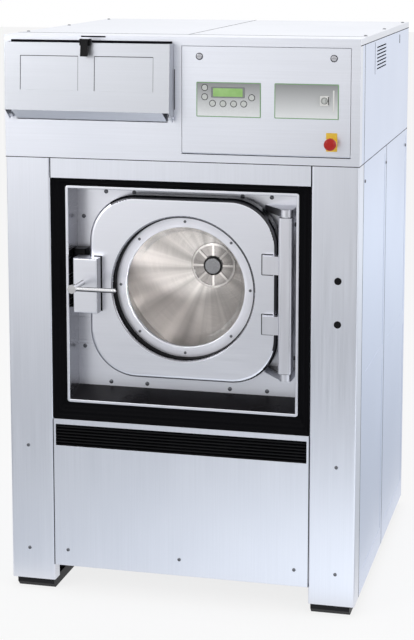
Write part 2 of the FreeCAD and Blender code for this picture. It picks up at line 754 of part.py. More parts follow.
def cabinet_screws():
    column_x = HALF - COLUMN_SCREW_INSET
    pieces = []
    for x in (-column_x, column_x):
        for rise in COLUMN_SCREW_RISES:
            pieces.append(screw_head((x, FRONT, SKID_HEIGHT + rise), OUT))
    lower_x = OPENING_HALF - LOWER_SCREW_INSET
    lower_z = SKID_HEIGHT + LOWER_PANEL_CLEARANCE + LOWER_SCREW_RISE
    for x in (-lower_x, 0, lower_x):
        pieces.append(screw_head((x, FRONT, lower_z), OUT))
    split = FRONT + SIDE_SPLIT
    side_y = (FRONT + SIDE_SCREW_FROM_FRONT, split - SIDE_SCREW_FROM_SPLIT, REAR - SIDE_SCREW_FROM_REAR)
    top_front = FRONT + TOP_STRIP + TOP_SCREW_FROM_STRIP
    top_y = (top_front, FRONT + TOP_SCREW_FROM_FRONT, REAR - TOP_SCREW_FROM_REAR)
    for side in (-1, 1):
        for y in side_y:
            pieces.append(screw_head((side * HALF, y, SEAM_Z - SIDE_SCREW_DROP), RIGHT * side))
        for y in top_y:
            pieces.append(screw_head((side * (HALF - TOP_SCREW_INSET), y, HEIGHT), UP))
    return group(pieces)


def column_plugs():
    x = COLUMN_MIDDLE + PLUG_OFF_MIDDLE
    places = [(x, FRONT, DRUM_AXIS_Z + rise) for rise in PLUG_RISES]
    return group(screw_head(place, OUT, PLUG_RADIUS, PLUG_HEAD) for place in places)


def hopper_limits():
    x = (MOUTH_LEFT + SEAT, MOUTH_RIGHT - SEAT)
    y = (FRONT + SHEET, FRONT + SHEET + HOPPER_DEPTH)
    floor = MOUTH_BOTTOM - HOPPER_BELOW_MOUTH
    return x, y, (floor, floor + HOPPER_HEIGHT)


def dispenser_hopper():
    x, y, z = hopper_limits()
    wall = HOPPER_WALL
    hopper = box(x, y, z)
    clear = (x[1] - x[0] - wall) / HOPPER_COMPARTMENTS
    for number in range(HOPPER_COMPARTMENTS):
        left = x[0] + wall + number * clear
        inside = (left, left + clear - wall)
        hopper = hopper.cut(box(inside, (y[0] + wall, y[1] - wall), (z[0] + wall, z[1])))
    hopper = hopper.cut(box((x[0] + wall, x[1] - wall), (y[0], y[0] + wall), (MOUTH_BOTTOM, z[1])))
    spout_start = (FILL_X, FRONT + FILL_DEPTH, z[0] - HOPPER_SPOUT)
    hopper = join(hopper, rod(FILL_RADIUS, spout_start, HOPPER_SPOUT, UP))
    return hopper.cut(rod(FILL_RADIUS - STUB_WALL, spout_start, HOPPER_SPOUT + wall, UP))


def rear_connections():
    pieces = []
    half = INLET_BODY / 2
    for x, z in inlet_places():
        body = box((x - half, x + half), (REAR - SHEET - INLET_BODY, REAR - SHEET), (z - half, z + half))
        thread = rod(INLET_RADIUS, (x, REAR - SHEET, z), SHEET + INLET_LENGTH)
        bore = rod(INLET_RADIUS - 4 * SHEET, (x, REAR - SHEET, z), SHEET + INLET_LENGTH)
        pieces.append(join(body, thread).cut(bore))
    start = REAR - SHEET - 2 * HOSE_OVERLAP
    length = REAR + DRAIN_OUTLET - start
    outlet = rod(DRAIN_RADIUS, (0, start, DRAIN_Z), length)
    flange = rod(DRAIN_RADIUS + HOSE_OVERLAP, (0, REAR - SHEET - HOSE_WALL, DRAIN_Z), HOSE_WALL)
    outlet = join(outlet, flange).cut(rod(DRAIN_RADIUS - STUB_WALL, (0, start, DRAIN_Z), length))
    pieces.append(outlet)
    return group(pieces)


def inverter_box():
    x = (HALF - SIDE_SHEET - INVERTER_WIDTH, HALF - SIDE_SHEET)
    y = (FRONT + INVERTER_FROM_FRONT, FRONT + INVERTER_FROM_FRONT + INVERTER_DEPTH)
    top = HEIGHT - INVERTER_BELOW_TOP
    return box(x, y, (top - INVERTER_HEIGHT, top))


# Suspension

def biarc(start, start_way, stop, stop_way):
    """Two arcs that leave a point one way and reach another point the other way."""
    chord = stop.sub(start)
    ways = start_way + stop_way
    a = 2 * (1 - start_way.dot(stop_way))
    b = 2 * chord.dot(ways)
    c = -chord.dot(chord)
    reach = (-b + math.sqrt(b * b - 4 * a * c)) / (2 * a)
    first_corner = start + start_way * reach
    second_corner = stop - stop_way * reach
    middle = (first_corner + second_corner) * 0.5
    return [arc_inside(start, first_corner, middle), arc_inside(middle, second_corner, stop)]


def arc_inside(start, corner, stop):
    """The arc that touches two equal legs of a corner at their ends."""
    half_chord = stop.sub(start).Length / 2
    leg = corner.sub(start).Length
    base = (start + stop) * 0.5
    height = corner.sub(base)
    bisector = height.Length
    radius = leg * half_chord / bisector
    bulge = math.sqrt(radius * radius + leg * leg) - radius
    through = corner - height * (bulge / bisector)
    return Part.Arc(start, through, stop).toShape()


def coil_spring(x, y):
    """One open coil between pedestal and tub bracket."""
    bottom = STRUT_BOTTOM + SPRING_WIRE + SEAT
    rise = STRUT_LENGTH - 2 * SPRING_WIRE - 2 * SEAT
    steps = 2 * SPRING_TURNS
    slope = rise / (2 * math.pi * SPRING_RADIUS * SPRING_TURNS)

    def place(step):
        turn = math.pi * step
        height = bottom + rise * step / steps
        return Vector(x + SPRING_RADIUS * math.cos(turn), y + SPRING_RADIUS * math.sin(turn), height)

    def way(step):
        turn = math.pi * step
        return Vector(-math.sin(turn), math.cos(turn), slope).normalize()

    edges = []
    for step in range(steps):
        edges += biarc(place(step), way(step), place(step + 1), way(step + 1))
    circle = Part.Circle(place(0), way(0), SPRING_WIRE).toShape()
    path = Part.Wire(edges)
    return path.makePipeShell([Part.Wire(circle)], True, False)


def suspension_springs():
    return group(coil_spring(x, y) for x, y in STRUTS)


def damper_cylinders():
    pieces = []
    for x, y in STRUTS:
        body = rod(DAMPER_RADIUS, (x, y, STRUT_BOTTOM), DAMPER_LENGTH, UP)
        bore_bottom = STRUT_BOTTOM + DAMPER_FLOOR
        bore = rod(DAMPER_ROD + RUNNING, (x, y, bore_bottom), DAMPER_LENGTH - DAMPER_FLOOR, UP)
        pieces.append(body.cut(bore))
    return group(pieces)


def damper_rods():
    pieces = []
    for x, y in STRUTS:
        bottom = STRUT_BOTTOM + DAMPER_FLOOR + 2 * TUB_TRAVEL
        pieces.append(rod(DAMPER_ROD, (x, y, bottom), STRUT_TOP - bottom, UP))
    return group(pieces)


# Tub

def tub_bracket(x, y):
    """Plate and gusset that carry the tub on one strut."""
    side = 1 if x > 0 else -1
    half = PEDESTAL_SIDE / 2
    span = side_span(side, BRACKET_INNER, BRACKET_OUTER)
    plate = box(span, (y - half, y + half), (STRUT_TOP, STRUT_TOP + BRACKET_PLATE))
    gusset = box(span, (y - BRACKET_PLATE, y + BRACKET_PLATE), (STRUT_TOP, DRUM_AXIS_Z))
    return join(plate, gusset)


def tub_shell():
    outer = TUB_RADIUS
    inner = TUB_RADIUS - TUB_WALL
    hole = HOUSING_RADIUS + SEAT
    shell = turned([
        (inner, PLATE_BACK), (outer, PLATE_BACK), (outer, TUB_END),
        (hole, TUB_END), (hole, TUB_REAR), (inner, TUB_REAR),
    ])
    inside = rod(outer - TUB_WALL / 2, (0, PLATE_BACK, DRUM_AXIS_Z), TUB_END - PLATE_BACK)
    sump_start = (0, FRONT + SUMP_DEPTH, SUMP_BOTTOM)
    sump_length = DRUM_AXIS_Z - SUMP_BOTTOM
    fill_start = (FILL_X, FRONT + FILL_DEPTH, DRUM_AXIS_Z)
    fill_length = FILL_STUB_TOP - DRUM_AXIS_Z
    added = [tub_bracket(x, y) for x, y in STRUTS]
    added.append(rod(SUMP_RADIUS, sump_start, sump_length, UP))
    added.append(rod(FILL_RADIUS, fill_start, fill_length, UP))
    shell = join(shell, *[piece.cut(inside) for piece in added])
    shell = shell.cut(rod(SUMP_RADIUS - STUB_WALL, sump_start, sump_length, UP))
    return shell.cut(rod(FILL_RADIUS - STUB_WALL, fill_start, fill_length, UP))


def tub_front_plate():
    y = (PLATE_FRONT, PLATE_BACK)
    disc = rod(TUB_RADIUS, (0, y[0], DRUM_AXIS_Z), FRONT_PLATE)
    field = box((-FRAME_HALF, FRAME_HALF), y, (FRAME_BOTTOM, FRAME_TOP))
    plate = join(disc, field)
    return plate.cut(rod(TUB_MOUTH_RADIUS, (0, y[0], DRUM_AXIS_Z), FRONT_PLATE))


def front_frame():
    y = (FRAME_FRONT, PLATE_FRONT)
    inner = FRAME_HALF - FRAME_LIP
    block = rounded_y((-FRAME_HALF, FRAME_HALF), y, (FRAME_BOTTOM, FRAME_TOP), FRAME_LIP)
    low = FRAME_BOTTOM + FRAME_LIP
    high = FRAME_TOP - FRAME_LIP
    well = prism_x([(y[0], low), (y[0], high), (y[1], high), (y[1], low + SILL_RISE)], (-inner, inner))
    frame = block.cut(well)
    lip = [edge for edge in frame.Edges if abs(edge.CenterOfMass.y - y[0]) < SAME]
    return frame.makeFillet(FRAME_LIP / 4, lip)


def tub_gasket():
    front = FRONT + SHEET
    back = FRAME_FRONT + SHEET

    def outline(x, z, y):
        corners = [Vector(-x, y, z[0]), Vector(x, y, z[0]), Vector(x, y, z[1]), Vector(-x, y, z[1])]
        return Part.makePolygon(corners + corners[:1])

    wide = outline(OPENING_HALF, (OPENING_BOTTOM, OPENING_TOP), front)
    narrow = outline(FRAME_HALF, (FRAME_BOTTOM, FRAME_TOP), back)
    funnel = Part.makeLoft([wide, narrow], True, True)
    skin = funnel.translated(BACK * GASKET_WALL).cut(funnel)
    hole = box((-FRAME_HALF, FRAME_HALF), (front, back + GASKET_WALL), (FRAME_BOTTOM, FRAME_TOP))
    return skin.cut(hole)


def plate_screws():
    top = FRAME_TOP - FRAME_LIP - PLATE_SCREW_INSET
    low = FRAME_BOTTOM + FRAME_LIP + SILL_RISE + PLATE_SCREW_LOW
    side = FRAME_HALF - FRAME_LIP - PLATE_SCREW_INSET
    places = [(x, top) for x in PLATE_SCREWS_TOP]
    places += [(x, low) for x in PLATE_SCREWS_LOW]
    places += [(x, DRUM_AXIS_Z + rise) for x in (-side, side) for rise in PLATE_SCREWS_SIDE]
    return group(screw_head((x, PLATE_FRONT, z), OUT, PLATE_SCREW_RADIUS) for x, z in places)


def hinge_limits():
    """Lowest and highest point of the hinge bar."""
    half = HINGE_BAR_HEIGHT / 2
    return DRUM_AXIS_Z - half, DRUM_AXIS_Z + half


def hinge_brackets():
    half = HINGE_LUG_WIDTH / 2
    low, high = hinge_limits()
    side = HINGE_X - half
    gusset_outline = [(side, HINGE_Y), (side - HINGE_GUSSET, PLATE_FRONT), (side, PLATE_FRONT)]
    pieces = []
    for end, away in ((low, -1), (high, 1)):
        face = end + away * HINGE_END_GAP
        z = sorted((face, face + away * HINGE_LUG))
        lug = box((side, HINGE_X + half), (HINGE_Y, PLATE_FRONT), z)
        gusset = prism_z(gusset_outline, z)
        eye = rod(half, (HINGE_X, HINGE_Y, z[0]), HINGE_LUG, UP)
        tip = end - away * HINGE_PIN_LENGTH
        pin = rod(HINGE_PIN, (HINGE_X, HINGE_Y, min(tip, face)), abs(face - tip), UP)
        pieces.append(join(lug, gusset, eye, pin))
    return group(pieces)


def lock_housing():
    right = LATCH_LEFT + SPINDLE_FROM_EDGE - SPINDLE_RADIUS - LOCK_SLOT_CLEARANCE
    x = (right - LOCK_WIDTH, right)
    y = (PLATE_FRONT - LOCK_DEPTH, PLATE_FRONT)
    z = (SPINDLE_Z - LOCK_HEIGHT / 2, SPINDLE_Z + LOCK_HEIGHT / 2)
    housing = rounded_z(x, y, z, 2 * LOCK_SLOT_CLEARANCE)
    ease = LOCK_SLOT_CLEARANCE
    slot_z = (SPINDLE_Z - TONGUE_LENGTH - ease, SPINDLE_Z + SPINDLE_RADIUS + ease)
    slot_left = SPINDLE_X - TONGUE_LENGTH - ease
    return housing.cut(box((slot_left, x[1]), (TONGUE_FRONT - ease, TONGUE_BACK + ease), slot_z))


def bearing_housing():
    bore = BEARING_RADIUS + RUNNING
    neck = SHAFT_RADIUS + HOUSING_END
    first = HOUSING_START + BEARING_WIDTH
    last = HOUSING_STOP - BEARING_WIDTH
    return turned([
        (bore, HOUSING_START), (HOUSING_RADIUS, HOUSING_START), (HOUSING_RADIUS, TUB_END),
        (HOUSING_FLANGE_RADIUS, TUB_END), (HOUSING_FLANGE_RADIUS, TUB_END + HOUSING_FLANGE),
        (HOUSING_RADIUS, TUB_END + HOUSING_FLANGE), (HOUSING_RADIUS, HOUSING_STOP), (bore, HOUSING_STOP),
        (bore, last), (neck, last), (neck, first), (bore, first),
    ])


def bearings():
    starts = (HOUSING_START, HOUSING_STOP - BEARING_WIDTH)
    inner = SHAFT_RADIUS + RUNNING
    return group(tube(BEARING_RADIUS, inner, (0, y, DRUM_AXIS_Z), BEARING_WIDTH) for y in starts)


def motor_back():
    """Rear face of the motor, where its shaft comes out."""
    return PULLEY_FRONT - MOTOR_END


def motor_housing():
    back = motor_back()
    start = (MOTOR_X, back - MOTOR_LENGTH, MOTOR_Z)
    motor = rod(MOTOR_RADIUS - MOTOR_FIN, start, MOTOR_LENGTH)
    ribs = []
    for number in range(MOTOR_FINS):
        fin = box(
            (MOTOR_X - MOTOR_FIN / 4, MOTOR_X + MOTOR_FIN / 4),
            (start[1] + MOTOR_END, back - MOTOR_END),
            (MOTOR_Z, MOTOR_Z + MOTOR_RADIUS),
        )
        ribs.append(fin.rotate(Vector(*start), BACK, number * 360 / MOTOR_FINS))
    motor = join(motor, *ribs)
    inside = rod(TUB_RADIUS + SEAT, (0, PLATE_BACK, DRUM_AXIS_Z), DEPTH)
    for y in (back - MOTOR_LENGTH, TUB_END - MOTOR_BRACKET):
        plate = box(
            (MOTOR_X - MOTOR_BRACKET_HALF, MOTOR_X + MOTOR_BRACKET_HALF),
            (y, y + MOTOR_BRACKET),
            (MOTOR_Z, DRUM_AXIS_Z),
        )
        motor = join(motor, plate.cut(inside))
    bore = rod(MOTOR_SHAFT + RUNNING, (MOTOR_X, back - MOTOR_END, MOTOR_Z), MOTOR_END)
    return motor.cut(bore)


def belt_loop(extra, y):
    """The stretched outline of both pulleys, grown by a distance."""
    large = PULLEY_RADIUS + extra
    small = MOTOR_PULLEY_RADIUS + extra
    drum_centre = (0, y[0], DRUM_AXIS_Z)
    motor_centre = (MOTOR_X, y[0], MOTOR_Z)
    across = Vector(*motor_centre) - Vector(*drum_centre)
    lean = math.acos((large - small) / across.Length)
    heading = math.atan2(across.z, across.x)
    corners = []
    for angle in (heading + lean, heading - lean):
        way = (math.cos(angle), math.sin(angle))
        at_drum = (way[0] * large, DRUM_AXIS_Z + way[1] * large)
        at_motor = (MOTOR_X + way[0] * small, MOTOR_Z + way[1] * small)
        corners += [at_drum, at_motor] if not corners else [at_motor, at_drum]
    width = y[1] - y[0]
    return join(prism_y(corners, y), rod(large, drum_centre, width), rod(small, motor_centre, width))


def belt_limits():
    middle = (PULLEY_FRONT + PULLEY_BACK) / 2
    return middle - BELT_WIDTH / 2, middle + BELT_WIDTH / 2


def drive_belt():
    y = belt_limits()
    return belt_loop(SEAT + BELT_THICKNESS, y).cut(belt_loop(SEAT, y))


def drain_valve():
    half = VALVE_SIDE / 2
    centre = FRONT + SUMP_DEPTH
    bottom = SUMP_BOTTOM - VALVE_HEIGHT
    body = rounded_z((-half, half), (centre - half, centre + half), (bottom, SUMP_BOTTOM), 4 * HOSE_WALL)
    port = rod(DRAIN_RADIUS, (0, centre, DRAIN_Z), half + DRAIN_PORT)
    body = join(body, port)
    drop = SUMP_BOTTOM - DRAIN_Z
    body = body.cut(rod(SUMP_RADIUS - STUB_WALL, (0, centre, DRAIN_Z), drop, UP))
    return body.cut(rod(DRAIN_RADIUS - STUB_WALL, (0, centre, DRAIN_Z), half + DRAIN_PORT))


def tub_hoses():
    inner = DRAIN_RADIUS + SEAT
    start = FRONT + SUMP_DEPTH + VALVE_SIDE / 2 + DRAIN_PORT - HOSE_OVERLAP
    stop = REAR - SHEET - HOSE_OVERLAP
    drain = tube(inner + HOSE_WALL, inner, (0, start, DRAIN_Z), stop - start)
    inner = FILL_RADIUS + SEAT
    low = FILL_STUB_TOP - HOSE_OVERLAP
    spout_end = hopper_limits()[2][0] - HOPPER_SPOUT
    high = spout_end + HOSE_OVERLAP
    fill = tube(inner + HOSE_WALL, inner, (FILL_X, FRONT + FILL_DEPTH, low), high - low, UP)
    return group([drain, fill])


# Drum

def drum_shell():
    inner = DRUM_RADIUS - DRUM_WALL
    mouth = DRUM_MOUTH_RADIUS
    lip = DRUM_FRONT - DRUM_FRONT_GAP / 2
    front_back = DRUM_FRONT + DRUM_WALL
    shell = turned([
        (mouth, lip), (mouth + DRUM_WALL, lip), (mouth + DRUM_WALL, DRUM_FRONT), (DRUM_RADIUS, DRUM_FRONT),
        (DRUM_RADIUS, DRUM_REAR), (inner, DRUM_REAR), (inner, front_back), (mouth, front_back),
    ])
    return shell.cut(group(drum_holes()))


def drum_holes():
    """Rows of drain holes through the drum's wall, each row shifted by half a step."""
    pitch = DRUM_LENGTH / (DRUM_HOLE_ROWS + 1)
    centre = Vector(0, 0, DRUM_AXIS_Z)
    start = DRUM_AXIS_Z + DRUM_RADIUS - 2 * DRUM_WALL
    holes = []
    for row in range(DRUM_HOLE_ROWS):
        hole = rod(DRUM_HOLE_RADIUS, (0, DRUM_FRONT + (row + 1) * pitch, start), 3 * DRUM_WALL, UP)
        for number in range(DRUM_HOLES_ROUND):
            turn = (number + row / 2) * 360 / DRUM_HOLES_ROUND
            holes.append(hole.rotated(centre, BACK, turn))
    return holes


def drum_back():
    rim = DRUM_RADIUS - DRUM_WALL - RUNNING
    bore = SHAFT_RADIUS + RUNNING
    hub_back = HUB_FRONT + HUB_PLATE
    cap_back = HUB_FRONT + HUB_CAP
    sleeve_back = hub_back + SLEEVE_LENGTH
    back = turned([
        (0, HUB_FRONT), (HUB_RADIUS, HUB_FRONT), (rim, DRUM_REAR - CONE_WALL), (rim, DRUM_REAR),
        (HUB_RADIUS, HUB_FRONT + CONE_WALL), (HUB_RADIUS, hub_back), (SLEEVE_RADIUS, hub_back),
        (SLEEVE_RADIUS, sleeve_back), (bore, sleeve_back), (bore, cap_back), (0, cap_back),
    ])
    boss_front = HUB_FRONT - HUB_BOSS
    boss = turned([
        (0, boss_front), (HUB_BOSS_RADIUS - HUB_RIB_HEIGHT, boss_front),
        (HUB_BOSS_RADIUS, boss_front + HUB_RIB_HEIGHT), (HUB_BOSS_RADIUS, HUB_FRONT), (0, HUB_FRONT),
    ])
    ribs = [boss]
    rib_y = (HUB_FRONT - HUB_RIB_HEIGHT, HUB_FRONT)
    half = HUB_RIB_WIDTH / 2
    for number in range(HUB_RIBS):
        rib = box((0, HUB_RADIUS - half), rib_y, (DRUM_AXIS_Z - half, DRUM_AXIS_Z + half))
        ribs.append(rib.rotate(Vector(0, 0, DRUM_AXIS_Z), BACK, number * 360 / HUB_RIBS))
    ribs.append(tube(HUB_RADIUS, HUB_RADIUS - HUB_RIB_WIDTH, (0, rib_y[0], DRUM_AXIS_Z), HUB_RIB_HEIGHT))
    return join(back, *ribs)


def drum_lifters():
    inner = DRUM_RADIUS - DRUM_WALL - RUNNING
    y = (DRUM_FRONT + DRUM_WALL + LIFTER_FROM_FRONT, DRUM_REAR - LIFTER_FROM_REAR)
    top = DRUM_AXIS_Z + inner
    bottom = top - LIFTER_HEIGHT
    outline = [
        (-LIFTER_BASE / 2, top), (LIFTER_BASE / 2, top),
        (LIFTER_TOP / 2, bottom), (-LIFTER_TOP / 2, bottom),
    ]
    lifter = prism_y(outline, y).common(rod(inner, (0, y[0], DRUM_AXIS_Z), y[1] - y[0]))
    centre = Vector(0, 0, DRUM_AXIS_Z)
    turns = [(number + 0.5) * 360 / LIFTERS for number in range(LIFTERS)]
    return group(lifter.rotated(centre, BACK, turn) for turn in turns)


def drum_shaft():
    start = HUB_FRONT + HUB_CAP + RUNNING
    return rod(SHAFT_RADIUS, (0, start, DRUM_AXIS_Z), PULLEY_BACK + PULLEY_WEB - start)


def drum_pulley():
    bore = SHAFT_RADIUS + RUNNING
    rim = PULLEY_RADIUS - PULLEY_RIM
    web = (PULLEY_FRONT + PULLEY_BACK - PULLEY_WEB) / 2
    pulley = turned([
        (bore, PULLEY_FRONT), (PULLEY_HUB_RADIUS, PULLEY_FRONT), (PULLEY_HUB_RADIUS, web), (rim, web),
        (rim, PULLEY_FRONT), (PULLEY_RADIUS, PULLEY_FRONT), (PULLEY_RADIUS, PULLEY_BACK),
        (rim, PULLEY_BACK), (rim, web + PULLEY_WEB), (PULLEY_HUB_RADIUS, web + PULLEY_WEB),
        (PULLEY_HUB_RADIUS, PULLEY_BACK), (bore, PULLEY_BACK),
    ])
    middle = (PULLEY_HUB_RADIUS + rim) / 2
    window = rod(PULLEY_WINDOW_RADIUS, (middle, web, DRUM_AXIS_Z), PULLEY_WEB)
    centre = Vector(0, 0, DRUM_AXIS_Z)
    for number in range(PULLEY_WINDOWS):
        pulley = pulley.cut(window.rotated(centre, BACK, number * 360 / PULLEY_WINDOWS))
    return pulley


def motor_rotor():
    start = motor_back() - MOTOR_END + 2 * HOLE_EASE
    shaft = rod(MOTOR_SHAFT, (MOTOR_X, start, MOTOR_Z), PULLEY_BACK - start)
    pulley = rod(MOTOR_PULLEY_RADIUS, (MOTOR_X, PULLEY_FRONT, MOTOR_Z), PULLEY_WIDTH)
    return join(shaft, pulley)


# Door

def glass_seat():
    """Depth of the face that the glass flange rests on."""
    return DOOR_BACK - DOOR_SHEET


def door_shell():
    y = (DOOR_FRONT, DOOR_BACK)
    z = (DRUM_AXIS_Z - DOOR_HEIGHT / 2, DRUM_AXIS_Z + DOOR_HEIGHT / 2)
    shell = rounded_y((-DOOR_HALF, DOOR_HALF), y, z, DOOR_CORNER)
    front_rim = [edge for edge in shell.Edges if abs(edge.CenterOfMass.y - DOOR_FRONT) < SAME]
    shell = shell.makeFillet(DOOR_EDGE, front_rim)
    wall = DOOR_SHEET
    hollow = rounded_y(
        (wall - DOOR_HALF, DOOR_HALF - wall), (DOOR_FRONT + wall, DOOR_BACK),
        (z[0] + wall, z[1] - wall), DOOR_CORNER - wall)
    hollow_rim = [edge for edge in hollow.Edges if abs(edge.CenterOfMass.y - DOOR_FRONT - wall) < SAME]
    hollow = hollow.makeFillet(DOOR_EDGE - wall, hollow_rim)
    throat = rod(PORTHOLE_RADIUS + wall, (0, DOOR_FRONT, DRUM_AXIS_Z), DOOR_DEPTH)
    shelf = rod(SEAL_OUTER, (0, glass_seat(), DRUM_AXIS_Z), DOOR_SHEET)
    shell = join(shell.cut(hollow), throat, shelf)
    shell = shell.cut(rod(PORTHOLE_RADIUS, (0, DOOR_FRONT, DRUM_AXIS_Z), DOOR_DEPTH - wall))
    round_front = [edge for edge in shell.Edges if isinstance(edge.Curve, Part.Circle)]
    mouth = [edge for edge in round_front if abs(edge.Curve.Center.y - DOOR_FRONT) < SAME]
    shell = shell.makeFillet(PORTHOLE_ROLL, mouth)
    return shell.cut(rod(GLASS_VISIBLE_RADIUS, (0, glass_seat(), DRUM_AXIS_Z), wall))


def door_glass():
    seat = glass_seat()
    flange = PORTHOLE_RADIUS - HOLE_EASE
    wall = GLASS_WALL
    deep = GLASS_BOWL_RADIUS
    shoulder = GLASS_VISIBLE_RADIUS - HOLE_EASE
    bowl_back = seat + GLASS_BOWL
    return turned([
        (0, bowl_back - wall), (deep - wall, bowl_back - wall), (shoulder - wall, seat - wall),
        (flange, seat - wall), (flange, seat), (shoulder, seat), (deep, bowl_back), (0, bowl_back),
    ])


def ring_limits():
    back = glass_seat() - GLASS_WALL
    return back - RING_THICKNESS, back


def glass_ring():
    y = ring_limits()
    outer = PORTHOLE_RADIUS - HOLE_EASE
    ring = tube(outer, GLASS_VISIBLE_RADIUS, (0, y[0], DRUM_AXIS_Z), RING_THICKNESS)
    rims = [edge for edge in ring.Edges if abs(edge.CenterOfMass.y - y[0]) < SAME]
    return ring.makeFillet(RING_THICKNESS / 4, rims)


def ring_screws():
    y = ring_limits()[0]
    radius = (PORTHOLE_RADIUS + GLASS_VISIBLE_RADIUS) / 2
    turns = [math.radians(number * 360 / RING_SCREWS) for number in range(RING_SCREWS)]
    places = [(radius * math.cos(turn), y, DRUM_AXIS_Z + radius * math.sin(turn)) for turn in turns]
    return group(screw_head(place, OUT, RING_SCREW_RADIUS) for place in places)


def door_seal():
    start = (0, DOOR_BACK, DRUM_AXIS_Z)
    return tube(SEAL_OUTER, SEAL_INNER, start, DOOR_GAP - SEAT)


def hinge_bar():
    low, high = hinge_limits()
    half = HINGE_BAR_WIDTH / 2
    y = (HINGE_Y - HINGE_BAR_DEPTH / 2, HINGE_Y + HINGE_BAR_DEPTH / 2)
    bar = rounded_z((HINGE_X - half, HINGE_X + half), y, (low, high), HINGE_BAR_EDGE)
    arm_y = (HINGE_Y - ARM_FRONT, DOOR_FRONT)
    arms = []
    for middle in (DRUM_AXIS_Z - ARM_HALF_SPAN, DRUM_AXIS_Z + ARM_HALF_SPAN):
        arm_z = (middle - ARM_HEIGHT / 2, middle + ARM_HEIGHT / 2)
        arms.append(box((HINGE_X - ARM_REACH, HINGE_X), arm_y, arm_z))
    bar = join(bar, *arms)
    depth = HINGE_PIN_LENGTH + HOLE_EASE
    for start in (low, high - depth):
        bar = bar.cut(rod(HINGE_PIN + RUNNING, (HINGE_X, HINGE_Y, start), depth, UP))
    return bar


def latch_block():
    bottom = SPINDLE_Z - LATCH_BELOW_SPINDLE
    z = (bottom, bottom + LATCH_HEIGHT)
    body = box((LATCH_LEFT, LATCH_RIGHT), (LATCH_Y, DOOR_FRONT), z)
    rim = [edge for edge in body.Edges if abs(edge.CenterOfMass.y - LATCH_Y) < SAME]
    body = body.makeFillet(LATCH_EDGE, rim)
    heel = box((LATCH_LEFT, -DOOR_HALF - SEAT), (DOOR_FRONT - LATCH_HEEL, DOOR_FRONT + LATCH_HEEL), z)
    block = join(body, heel)
    length = LATCH_FRONT + LATCH_HEEL
    return block.cut(rod(SPINDLE_RADIUS + RUNNING, (SPINDLE_X, LATCH_Y, SPINDLE_Z), length))


def latch_handle():
    hub_front = LATCH_Y - HANDLE_REACH
    spindle = rod(SPINDLE_RADIUS, (SPINDLE_X, hub_front, SPINDLE_Z), TONGUE_BACK - hub_front)
    collar = rod(HANDLE_HUB_RADIUS, (SPINDLE_X, hub_front, SPINDLE_Z), HANDLE_HUB)
    lever_y = hub_front + HANDLE_HUB / 2
    lever = rod(LEVER_RADIUS, (SPINDLE_X, lever_y, SPINDLE_Z), LEVER_LENGTH - LEVER_RADIUS, RIGHT)
    tip = Part.makeSphere(LEVER_RADIUS, Vector(SPINDLE_X + LEVER_LENGTH - LEVER_RADIUS, lever_y, SPINDLE_Z))
    tongue = box(
        (SPINDLE_X - SPINDLE_RADIUS, SPINDLE_X + SPINDLE_RADIUS), (TONGUE_FRONT, TONGUE_BACK),
        (SPINDLE_Z - TONGUE_LENGTH, SPINDLE_Z))
    return join(spindle, collar, lever, tip, tongue)


# Hopper lid

def lid_face_y(z):
    """Depth of the lid's front face at a height: the lid leans out towards its lower edge."""
    return FRONT - LID_PROUD - LID_LEAN * (LID_TOP - z) / LID_HEIGHT


def dispenser_lid():
    x = (LID_LEFT, LID_RIGHT)
    sheet = LID_SHEET
    low_y = lid_face_y(LID_BOTTOM)
    top_y = lid_face_y(LID_TOP)
    face = prism_x([
        (low_y, LID_BOTTOM), (top_y, LID_TOP),
        (top_y + sheet, LID_TOP), (low_y + sheet, LID_BOTTOM),
    ], x)
    top = box(x, (top_y, top_y + LID_TOP_RETURN), (LID_TOP - sheet, LID_TOP))
    heel_y = FRONT - LID_BACK_GAP
    heel_z = LID_BOTTOM - LID_RETURN_DROP
    hopper_inside = SEAT + HOPPER_WALL + HOLE_EASE
    lower = prism_x([
        (low_y, LID_BOTTOM), (low_y + sheet, LID_BOTTOM + sheet),
        (heel_y, heel_z + sheet), (heel_y, heel_z),
    ], (MOUTH_LEFT + hopper_inside, MOUTH_RIGHT - hopper_inside))
    eye = LID_PIN_PROUD - LID_BACK_GAP
    diagonal = eye * math.sqrt(0.5)
    cheek_outline = [
        (low_y, LID_BOTTOM), (top_y, LID_TOP), (heel_y, LID_TOP), (heel_y, LID_PIN_Z),
        (LID_PIN_Y + diagonal, LID_PIN_Z - diagonal), (LID_PIN_Y, LID_PIN_Z - eye),
    ]
    parts = [top, lower]
    for cheek_x in ((LID_LEFT, LID_LEFT + sheet), (LID_RIGHT - sheet, LID_RIGHT)):
        cheek = prism_x(cheek_outline, cheek_x)
        parts.append(cheek.cut(rod(LID_PIN + RUNNING, (cheek_x[0], LID_PIN_Y, LID_PIN_Z), sheet, RIGHT)))
    lid = join(face, *parts, *grip_ears())
    return lid.cut(group(lid_fields()))


def lid_fields():
    """The two shallow pressed fields in the lid's face."""
    middle = (LID_LEFT + LID_RIGHT) / 2
    z = (LID_TOP - LID_FIELD_DROP - LID_FIELD_HEIGHT, LID_TOP - LID_FIELD_DROP)
    fields = []
    for centre in (middle - LID_FIELD_SPAN / 2, middle + LID_FIELD_SPAN / 2):
        outline = [
            (lid_face_y(z[0]) - LID_PRESS, z[0]), (lid_face_y(z[1]) - LID_PRESS, z[1]),
            (lid_face_y(z[1]) + LID_PRESS, z[1]), (lid_face_y(z[0]) + LID_PRESS, z[0]),
        ]
        fields.append(prism_x(outline, (centre - LID_FIELD_WIDTH / 2, centre + LID_FIELD_WIDTH / 2)))
    return fields


